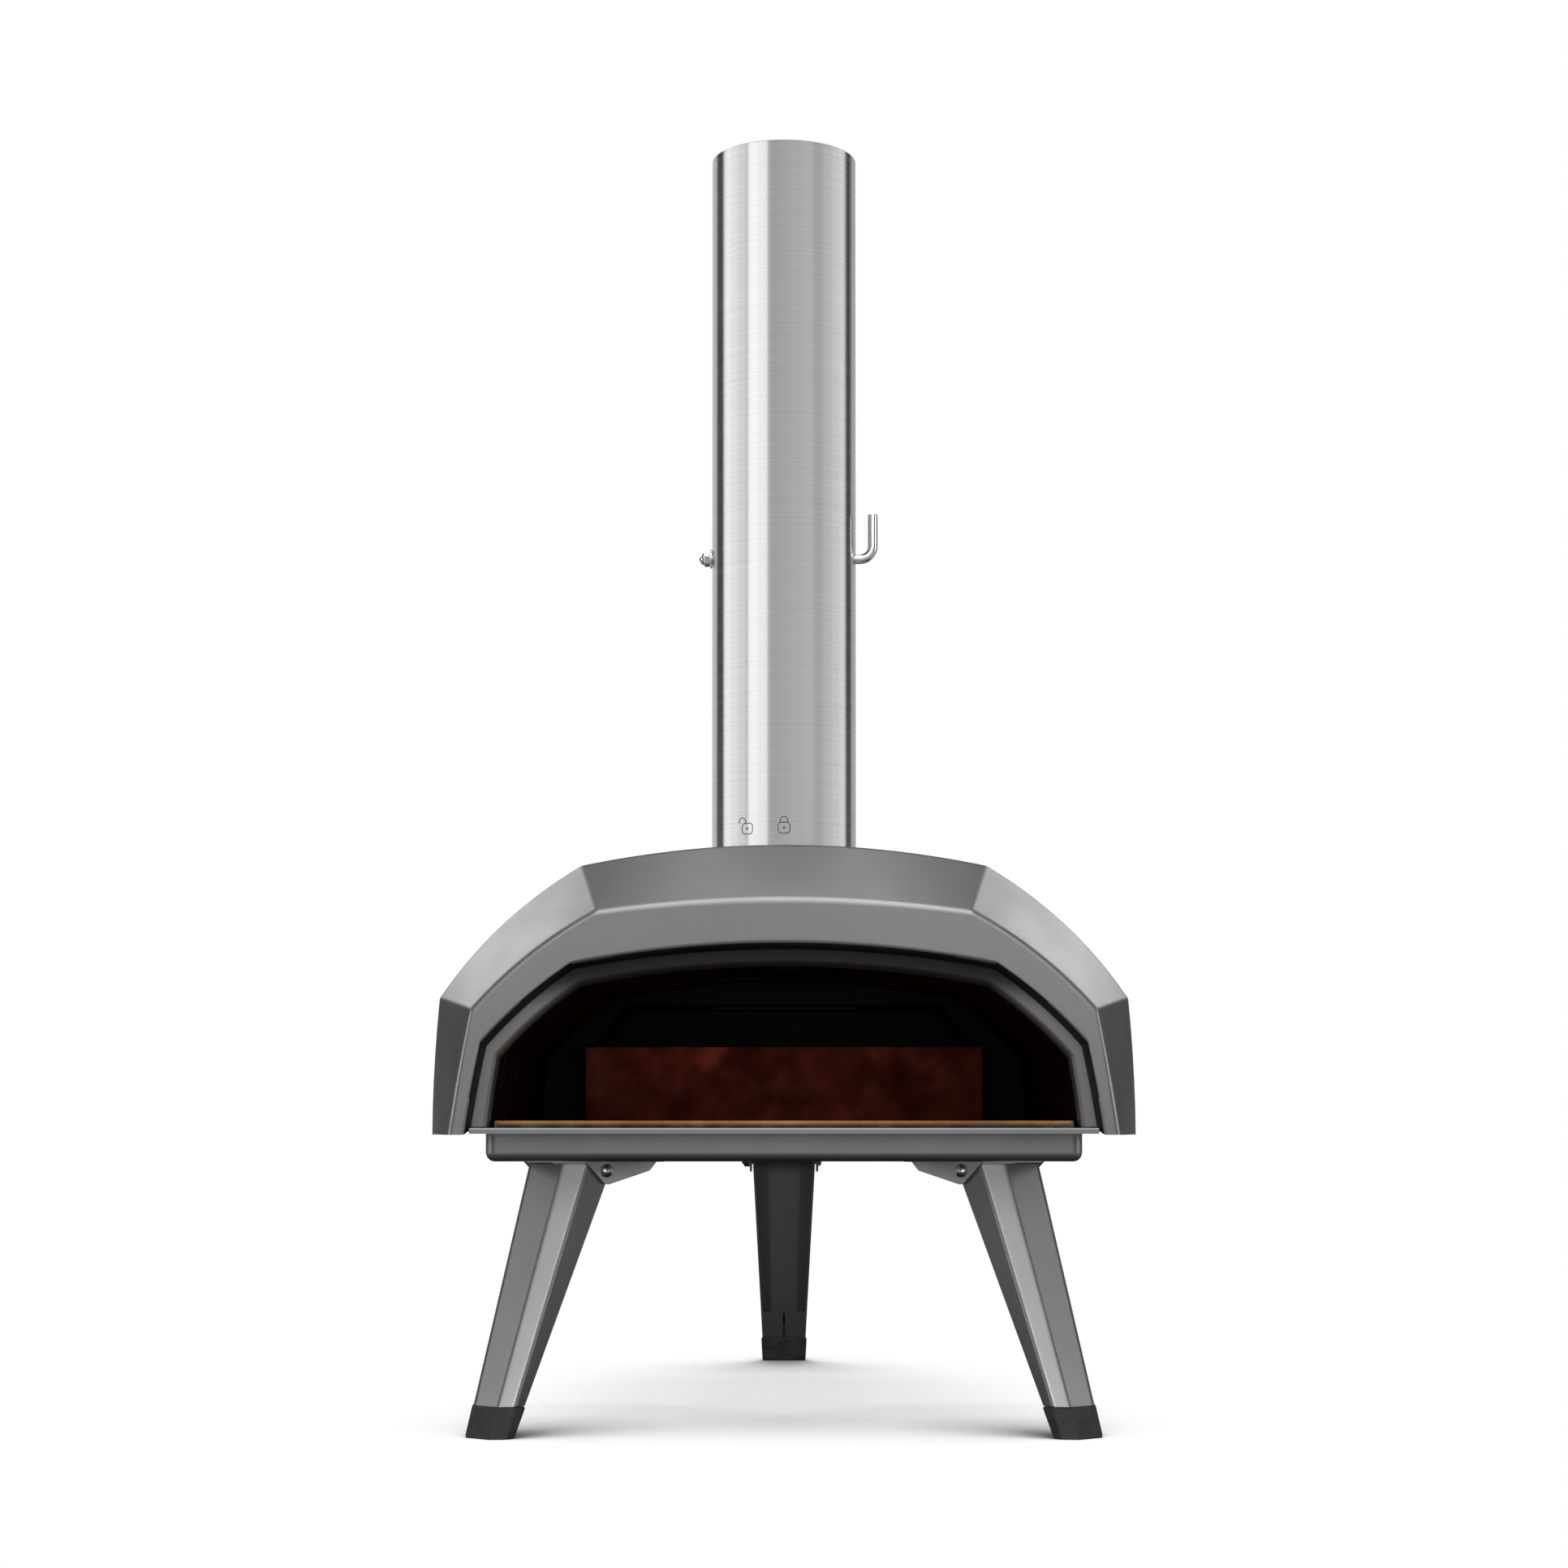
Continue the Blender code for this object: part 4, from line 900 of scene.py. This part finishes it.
def make_chimney():
    profile = eased_band(FLUE_R - FLUE_WALL, FLUE_R, FLUE_BASE, FLUE_TOP, 0.0003)
    profile[4:4] = [(FLUE_R, z) for z in spread(12, FLUE_BASE + 0.02, FLUE_TOP - 0.02)]
    tube = turned("flue_tube", profile, flue(), (0, 0, 1), 192)
    cut(tube, rod_of(flue(-0.06, 0, DAMPER_Z), flue(0.06, 0, DAMPER_Z), ROD_R + CLEAR))
    settle(tube, BRUSHED, "chimney", ["chimney_tube"])


def on_tube(angle, along, height):
    """A point on the tube's face, at a distance round it from an angle (0 faces the mouth)."""
    turn = math.radians(angle) + along / FLUE_R
    radius = FLUE_R + 0.00002
    return flue(radius * math.sin(turn), -radius * math.cos(turn), height)


def etched_line(name, points, closed):
    """A fine etched outline that follows the tube."""
    curve = bpy.data.curves.new(name, "CURVE")
    curve.dimensions = "3D"
    curve.bevel_depth = 0.00026
    curve.bevel_resolution = 2
    spline = curve.splines.new("POLY")
    spline.points.add(len(points) - 1)
    for slot, point in zip(spline.points, points):
        slot.co = (*point, 1)
    spline.use_cyclic_u = closed
    return put(name, curve)


def make_lock_marks():
    """The two padlocks that mark the chimney's turn: shut straight ahead, open to the left."""
    body_w, body_h, shackle_r, base = 0.0072, 0.0066, 0.0023, 0.3563
    etching = etch_look()
    for word, angle, swing in (("shut", 0.0, 0.0), ("open", -30.0, -0.0036)):
        body = rounded(rect((-body_w / 2, 0), (body_w / 2, body_h)), 0.0018, 4)
        outline = [on_tube(angle, p.x, base + p.y) for p in body]
        shackle = [on_tube(angle, swing + shackle_r, base + body_h)]
        top = base + body_h + 0.0012
        for a in spread(13, 0.0, math.pi):
            shackle.append(on_tube(angle, swing + shackle_r * math.cos(a),
                                   top + shackle_r * math.sin(a)))
        shackle.append(on_tube(angle, swing - shackle_r, base + body_h))
        dot = [on_tube(angle, 0.0005 * math.cos(a), base + body_h / 2 + 0.0005 * math.sin(a))
               for a in turn_of(12)]
        for part, points, closed in (("body", outline, True), ("shackle", shackle, False),
                                     ("keyhole", dot, True)):
            mark = etched_line(f"lock_{word}_{part}", points, closed)
            mark.data.materials.append(etching)
            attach(mark, "chimney")


def make_damper():
    centre = flue(0, 0, DAMPER_Z)
    at = lambda x, y, z: centre + Vector((x, y, z))
    rod = bent_rod("damper_handle", [at(-0.0505, 0, 0), at(HANDLE_X, 0, 0),
                                     at(HANDLE_X, 0, HANDLE_TOP - DAMPER_Z)], ROD_R, 0.0080)
    settle(rod, BRIGHT, "damper", ["damper_rod"])
    near, rim = ROD_R + CLEAR, 0.0415
    far, ease = near + THIN, 0.0003
    plate = turned("damper_disc", [(0, near), (rim - ease, near), (rim, near + ease),
                                   (rim, far - ease), (rim - ease, far), (0, far)],
                   centre, (0, 1, 0), 96)
    settle(plate, BRUSHED, "damper", ["damper_plate"])
    left = (-1, 0, 0)
    washer = turned("washer", eased_band(0.0034, 0.0058, 0.0453, 0.0463, 0.0002), centre, left, 48)
    settle(washer, BRIGHT, "damper", ["damper_washer"])
    hexagon = turned("acorn_nut", [(0, 0.0466), (0.0046, 0.0466), (0.0048, 0.0468),
                                   (0.0048, 0.0496), (0.0043, 0.0500), (0, 0.0500)],
                     centre, left, 6, 0.0002)
    profile = [(0, 0.0480), (0.0037, 0.0480)]
    profile += dome(0.0037, 0.0033, 0.0498, spread(9, 0.0, RIGHT_ANGLE))
    cap = join(hexagon, turned("dome", profile, centre, left, 48))
    settle(cap, BRIGHT, "damper", ["damper_cap_nut"])
    for word in ("left", "right"):
        dress("damper_screw_" + word, LOOKS[BRIGHT], 0.0)


# ---------------------------------------------------------------- legs
def leg_value(pair, height):
    """A width of the channel at a height, from its widths at the two heights of LEG_FIT."""
    top, low = LEG_FIT
    return pair[0] + (pair[1] - pair[0]) * (top - height) / (top - low)


def leg_path(height, extra=0.0, trim=0.0):
    """The channel's outer outline (outward, sideways) at a height, flange edge to flange edge."""
    web = leg_value(LEG_WEB, height) / 2
    run = leg_value(LEG_CHAMFER, height) / math.sqrt(2)
    depth = leg_value(LEG_FLANGE, height) - trim
    lead = LEG_SPLAY * (LEG_FIT[0] - height)
    half = [(lead - run - depth, web + run + extra), (lead - run, web + run + extra),
            (lead + extra, web)]
    return half + [(u, -v) for u, v in half[::-1]]


def leg_places():
    """Name, plan position of the web's top centre, outward and sideways directions."""
    turn = math.radians(FRONT_TURN)
    x, depth = FRONT_LEG
    out, across = math.sin(turn), math.cos(turn)
    return (("front_left", (-x, depth), (-out, -across), (across, -out)),
            ("front_right", (x, depth), (out, -across), (-across, -out)),
            ("rear", (0.0, REAR_LEG_DEPTH), (0.0, 1.0), (1.0, 0.0)))


def channel_row(height, trim):
    """The outer outline with its four bends rounded."""
    corners = [Vector(p) for p in leg_path(height, 0.0, trim)]
    reach = 0.0020
    row = [corners[0]]
    for before, here, after in zip(corners, corners[1:], corners[2:]):
        start = here + (before - here).normalized() * reach
        end = here + (after - here).normalized() * reach
        row += round_corner(start, here, end)
    return row + [corners[-1]]


def drill(target, pivot, side):
    """The bolt's hole, right across a leg or bracket."""
    cut(target, rod_of(pivot - side * 0.04, pivot + side * 0.04, BOLT_HOLE))


def make_leg(word, base, out, side):
    """A bent channel that narrows downward, closed behind at the bottom, and its rubber foot."""
    out, side = Vector((*out, 0)), Vector((*side, 0))
    origin = Vector((base[0], RIDGE_Y + base[1], 0))
    body = "leg_" + word

    def spot(u, v, z):
        return origin + out * u + side * v + Vector((0, 0, z))

    levels = [(LEG_TOP, 0.0036), (LEG_TOP - 0.0009, 0.0025), (LEG_TOP - 0.0022, 0.0016),
              (LEG_TOP - 0.0050, 0.0)]
    levels += [(z, 0.0) for z in spread(6, LEG_TOP - 0.02, LEG_LOW)]
    rows = [[spot(p.x, p.y, z) for p in channel_row(z, trim)] for z, trim in levels]
    channel = sheet("channel_" + word, rows, LEG_SHEET, 0.00025, False)
    slit = 0.0009
    lips = []
    for sign in (-1, 1):
        ends = []
        for z in (LEG_CLOSED, LEG_LOW + 0.0001):
            edge, wide = leg_path(z)[0]
            corners = [(edge + 0.00005, wide - 0.0003), (edge + 0.00005, slit),
                       (edge + LEG_SHEET, slit), (edge + LEG_SHEET, wide - 0.0003)]
            ends.append([spot(u, sign * v, z) for u, v in corners])
        lips.append(loft("lip", ends, 0.0002))
    join(channel, *lips)
    pivot = spot(-PIVOT_BACK, 0, PIVOT_Z)
    drill(channel, pivot, side)
    settle(channel, GREY, body, ["leg_" + word])

    def outline(z, extra, inset=0.0):
        path = [Vector(p) for p in leg_path(z, extra - inset)]
        for end in (0, -1):
            path[end].x += inset - extra
        return [spot(p.x, p.y, z) for p in rounded(path, 0.0008 if inset else 0.0016, 4)]

    levels = [outline(z, extra) for z, extra in
              ((0.0, 0.0002), (0.0005, 0.0007), (0.0014, 0.0009), (LEG_LOW - 0.0018, 0.0009),
               (LEG_LOW - 0.0009, 0.0007), (LEG_LOW - 0.0003, 0.0003))]
    inset = LEG_SHEET + 0.0012
    levels += [outline(LEG_LOW - 0.00028, 0.0, inset), outline(0.029, 0.0, inset)]
    settle(loft("rubber_foot_" + word, levels), RUBBER, body, ["foot_" + word])
    return pivot, out, side


def make_bracket(word, pivot, out, side):
    """A clevis of bent sheet under the pan."""
    top = PAN_BOTTOM - CLEAR
    ear = [(-0.018, top), (-0.018, top - 0.0012), (-0.0015, PAN_BOTTOM - 0.0144),
           (0.0025, PAN_BOTTOM - 0.0146), (0.039, PAN_BOTTOM - 0.0070), (0.047, top)]
    ear = rounded(ear, [0, 0.0005, 0.0016, 0.0016, 0.0020, 0], 5)
    place = ((pivot.x, pivot.y, 0), -out, (0, 0, 1), side)
    bracket = slab("clevis_" + word, ear, place, EAR_IN, EAR_IN + EAR_SHEET, 0.0003)
    pieces = [slab("ear", ear, place, -EAR_IN - EAR_SHEET, -EAR_IN, 0.0003)]
    skim = top - 0.0001
    strip = rect((-0.0172, top - 0.0014), (-0.0068, skim))
    pieces.append(slab("bridge", strip, place, -EAR_IN - 0.0008, EAR_IN + 0.0008))
    tab = rect((0.004, top - 0.0013), (0.038, skim))
    for sign in (-1, 1):
        low, high = sorted((sign * (EAR_IN + 0.0006), sign * (EAR_IN + 0.014)))
        pieces.append(slab("tab", tab, place, low, high, 0.0002))
    for piece in pieces:
        join(bracket, piece)
    drill(bracket, pivot, side)
    settle(bracket, GREY, "oven", ["bracket_" + word])


def make_pivot(word, pivot, side):
    """A button-head screw through a bracket's ears, and its nut."""
    face = EAR_IN + EAR_SHEET + CLEAR
    shank, head_r, head_h, tail = 0.0025, 0.0040, 0.0026, 0.0055
    profile = [(0, -face - tail), (shank - 0.0004, -face - tail), (shank, 0.0004 - face - tail),
               (shank, face), (head_r - 0.0002, face), (head_r, face + 0.0003)]
    profile += dome(head_r, head_h - 0.0003, face + 0.0003, spread(8, 0.25, 1.25))
    profile += [(0.0008, face + head_h - 0.0001), (0, face + head_h)]
    screw = turned("pivot_bolt_" + word, profile, pivot, side, 48)
    cut(screw, rod_of(pivot + side * (face + 0.0010), pivot + side * (face + 0.004), 0.0015, 6))
    settle(screw, BRIGHT, "oven", ["pivot_screw_" + word])
    across, thick = 0.0044, 0.0042
    nut = turned("lock_nut_" + word, [(BOLT_HOLE, -face - thick), (BOLT_HOLE, -face),
                                      (across, -face), (across, 0.0008 - face - thick),
                                      (across - 0.0006, -face - thick)], pivot, side, 48)
    settle(nut, BRIGHT, "oven", ["pivot_nut_" + word])


# ---------------------------------------------------------------- firebox, tray, hatch
def make_chute_flange():
    """The foot of the hatch's chute: a narrow flange that seals it on the firebox."""
    ridge = Vector((0, RIDGE_Y, 0))
    low, high = (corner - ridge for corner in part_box("hatch_neck"))
    outline = rounded(grown(rect(low, high), 0.0036), 0.0030)
    base, top, bite = low.z - 0.0002, low.z + 0.0013, 0.0004
    flange = loft("chute_flange", [plan_level(outline, base), plan_level(outline, top - bite),
                                   plan_level(grown(outline, -bite), top)])
    hole = box("hole", (low.x + bite, low.y + bite, base - 0.01),
               (high.x - bite, high.y - bite, top + 0.01))
    settle(cut(flange, hole), GREY, "oven")


def make_plate_screw(place):
    """A low button-head screw in the rear plate."""
    radius, rise, rear = 0.0032, 0.0013, Vector((0, 1, 0))
    profile = [(0, 0), (radius - 0.0002, 0)]
    profile += dome(radius, rise - 0.0003, 0.0003, spread(7, 0.0, 1.25))
    profile += [(0.0006, rise - 0.00002), (0, rise)]
    name = f"plate_screw_{round(place.x * 1e4)}_{round(place.z * 1e4)}".replace("-", "m")
    head = turned(name, profile, place, rear, 40)
    cut(head, rod_of(place + rear * (rise - 0.0007), place + rear * 0.003, 0.0013, 6))
    settle(head, BRIGHT, "oven")


def make_rear():
    dress("rear_plate", half_smoked_look("half_smoked_coat", behind_plate))
    dress("firebox_housing", half_smoked_look("half_smoked_box", outside_firebox))
    for slot, edge, nodes in (
            (GREY, 0.0004, "tray_face hatch_lid"),
            (LINER, 0.0002, "oven_liner hatch_neck fuel_guard fuel_tray"),
            (LINER, 0.0002, "stone_rest_left stone_rest_right"),
            (WOOL, 0.0, "insulation_blanket"),
            (BRIGHT, 0.0002, "tray_boss_left tray_boss_right hatch_boss_left hatch_boss_right")):
        for node in nodes.split():
            dress(node, LOOKS[slot], edge)
    make_chute_flange()
    plate_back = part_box("rear_plate")[1].y
    for x, z in ((0.050, 0.2925), (0.1365, 0.2650), (0.1625, 0.2050)):
        for sign in (-1, 1):
            make_plate_screw(Vector((sign * x, plate_back, z)))
    for name, node, body, axis in (("tray_grip", "tray_handle", "fuel_tray", 1),
                                   ("hatch_grip", "hatch_handle", "hatch", 2)):
        low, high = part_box(node)
        path = []
        for sign, out in ((-1, False), (-1, True), (1, True), (1, False)):
            point = (low + high) / 2
            point.x = sign * (high.x - ROD_R)
            point[axis] = high[axis] - ROD_R if out else low[axis]
            path.append(point)
        settle(bent_rod(name, path, ROD_R, 0.012), BRIGHT, body, [node])


# ---------------------------------------------------------------- studio
FLOOR_SPILL = 0.40         # what the floor gives the object, far from it
AMBIENT = 0.04
EMBERS = 6.6
GLOW = 13.0
AIM = Vector((0.0, -0.15, 0.25))
REACH = 4.0
# Direction (mirrored left to right unless its x is 0), angular radius and radiance.
PANELS = (
    ((0.00, 0.25, 0.97), 11, 2.2),
    ((0.60, 0.50, 0.62), 17, 2.55),
    ((0.00, -0.55, 0.83), 24, 3.0),
    ((0.30, -0.85, 0.42), 14, 1.45),
    ((0.00, -1.00, 0.10), 24, 0.78),
    ((0.93, -0.10, 0.42), 18, 0.30),
    ((0.95, -0.25, 0.16), 12, 3.0),
)
# The same for the legs and brackets in front, and for the brackets' outer faces.
LOW_PANELS = (
    ((0.30, -0.93, 0.10), 10, 10.2),
    ((0.00, -1.00, 0.10), 24, 0.78),
)
CLEVIS_PANELS = (((0.97, 0.20, 0.08), 14, 3.6),)
# What the chimney shows, round it from straight ahead: from, to, radiance at each.
BANDS = (
    (-180, -136, 0.58, 0.58),
    (-112, -62, 1.42, 0.86),
    (-60, -26, 1.58, 1.28),
    (-26, 48, 0.47, 0.66),
    (48, 116, 0.44, 1.02),
    (136, 180, 0.44, 0.44),
)


def make_camera():
    """At the height of the baking stone, level with it but tipped up a little and framed low."""
    data = bpy.data.cameras.new("camera")
    data.sensor_width = 36.0
    data.lens = 36.0 * 3600 / 1932
    data.shift_y = 0.155
    data.clip_start = 0.01
    camera = put("camera", data)
    camera.location = (0.0, -1.9484, 0.1813)
    camera.rotation_euler = (math.radians(90 + 1.82), 0.0, 0.0)
    bpy.context.scene.camera = camera


def make_floor():
    """White ground: the camera sees painted shadows on it near the oven, worked out by ambient
    occlusion, and the floor gives out less light to the oven from there.
    """
    build = bmesh.new()
    bmesh.ops.create_grid(build, x_segments=8, y_segments=8, size=40.0)
    mesh = bpy.data.meshes.new("floor")
    build.to_mesh(mesh)
    build.free()
    made = bpy.data.materials.new("studio_floor")
    made.use_nodes = True
    made.node_tree.nodes.clear()
    tree = Tree(made.node_tree)
    place = tree.add("TexCoord").outputs["Object"]
    outward = tree.add("VectorMath", {0: place, 1: (5.0, 5.0, 0.0), 2: (0.0, 0.2, 1.0)},
                       operation="MULTIPLY_ADD").outputs["Vector"]
    shades = []
    for lean, reach, low, high, darkest in (((0.0, -0.41, 0.91), 0.21, 0.26, 0.70, 0.0),
                                            (outward, 0.12, 0.62, 0.97, 0.40)):
        normal = tree.add("VectorMath", {0: lean}, operation="NORMALIZE").outputs["Vector"]
        near = tree.add("AmbientOcclusion", {"Distance": reach, "Normal": normal}, samples=14)
        shades.append(tree.map_range(near.outputs["AO"], low, high, darkest))
    seen = tree.add("Math", dict(enumerate(shades)), operation="MULTIPLY").outputs["Value"]
    away = tree.add("VectorMath", {0: place}, operation="LENGTH").outputs["Value"]
    cast = tree.map_range(away, 0.25, 1.10, 0.01, FLOOR_SPILL, interpolation_type="SMOOTHSTEP")
    tree.by_viewer("Emission", seen, cast, "OutputMaterial")
    mesh.materials.append(made)
    put("floor", mesh)


def make_world():
    """White to the camera, a dim studio to everything else."""
    world = bpy.data.worlds.new("studio")
    bpy.context.scene.world = world
    world.use_nodes = True
    world.node_tree.nodes.clear()
    Tree(world.node_tree).by_viewer("Background", 1.0, AMBIENT, "OutputWorld")


def lamp(name, place, target, size, radiance, shape="RECTANGLE", colour=(1, 1, 1)):
    """An area light of a given radiance, which only lights."""
    data = bpy.data.lights.new(name, "AREA")
    data.shape = shape
    data.size, area = size[0], size[0] ** 2 * math.pi / 4
    if shape == "RECTANGLE":
        data.size_y, area = size[1], size[0] * size[1]
    data.energy = radiance * area * math.pi
    data.color = colour
    light = put(name, data)
    light.location = place
    light.rotation_euler = (Vector(target) - Vector(place)).to_track_quat("-Z", "Y").to_euler()
    light.visible_camera = False
    return light


def make_discs(name, rows):
    """Soft discs, mostly high, in front and at the sides."""
    made = []
    for index, ((x, y, z), radius, radiance) in enumerate(rows):
        for sign in ((-1, 1) if x else (1,)):
            toward = Vector((sign * x, y, z)).normalized()
            width = 2 * REACH * math.tan(math.radians(radius))
            made.append(lamp(f"{name}_{index}_{sign + 1}", AIM + REACH * toward, AIM, (width,),
                             radiance, "DISK"))
    return made


def make_flue_lamps():
    """Tall strips that stand round the chimney."""
    made = []
    middle, reach, tall = flue(0, 0, 1.75), 3.0, 3.4
    for start, end, first, last in BANDS:
        count = max(1, round((end - start) / 18))
        step = (end - start) / count
        for i in range(count):
            angle = math.radians(start + step * (i + 0.5))
            place = middle + reach * Vector((math.sin(angle), -math.cos(angle), 0))
            width = 2 * reach * math.tan(math.radians(step / 2))
            radiance = first + (last - first) * (i + 0.5) / count
            made.append(lamp(f"strip_{len(made)}", place, middle, (width, tall), radiance))
    return made


def make_embers():
    """The glow of the fire, behind the guard."""
    glow = lamp("embers", (0.0, RIDGE_Y + 0.405, 0.236), (0.0, -0.3, 0.20), (0.20, 0.012),
                EMBERS, colour=(1.0, 0.22, 0.04))
    glow.visible_glossy = False


def make_glow():
    """Firelight thrown back down from the arch on to the guard."""
    return lamp("glow", (0.0, RIDGE_Y + 0.10, 0.25), (0.0, RIDGE_Y + 0.35, 0.20), (0.20, 0.03),
                GLOW, colour=(1.0, 0.13, 0.05))


def shine_on(lamps, name, objects, own_shadows=False):
    """Lets lamps light only the given objects, and if asked be shaded only by them."""
    group = bpy.data.collections.new(name)
    for obj in objects:
        group.objects.link(obj)
    for light in lamps:
        light.light_linking.receiver_collection = group
        if own_shadows:
            light.light_linking.blocker_collection = group


# ---------------------------------------------------------------- the whole scene
make_camera()
make_floor()
make_world()
make_embers()
make_hood()
make_mouth_frame()
make_shell()
make_pan()
make_sill()
make_stone()
make_collar()
make_chimney()
make_lock_marks()
make_damper()
for leg_word, leg_base, leg_out, leg_side in leg_places():
    leg_pivot, leg_out, leg_side = make_leg(leg_word, leg_base, leg_out, leg_side)
    make_bracket(leg_word, leg_pivot, leg_out, leg_side)
    make_pivot(leg_word, leg_pivot, leg_side)
make_rear()
bpy.context.scene.view_settings.view_transform = "Standard"

solids = [obj for obj in bpy.context.scene.objects
          if obj.type in ("MESH", "CURVE") and obj.name != "floor"]
on_flue = [obj for obj in solids if obj.name == "flue_tube" or obj.name.startswith("lock_")]
below = [obj for obj in solids if obj.name.startswith(("channel_", "rubber_foot_", "clevis_",
                                                       "pivot_bolt_", "lock_nut_"))]
body = [obj for obj in solids if obj not in on_flue]
front = [row for row in PANELS if abs(row[0][0]) < 0.5 and row[0][1] < -0.5]
others = [row for row in PANELS if row not in front]
shine_on(make_discs("panel", others), "lit_body", body)
shine_on(make_discs("front", front), "lit_above", [obj for obj in body if obj not in below])
shine_on(make_discs("under", LOW_PANELS), "lit_below", below, True)
shine_on(make_discs("clevis", CLEVIS_PANELS), "lit_clevis",
         [obj for obj in below if obj.name.startswith(("clevis_", "pivot_bolt_"))], True)
shine_on(make_flue_lamps(), "lit_flue", on_flue)
shine_on([make_glow()], "lit_guard", [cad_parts["fuel_guard"]], True)
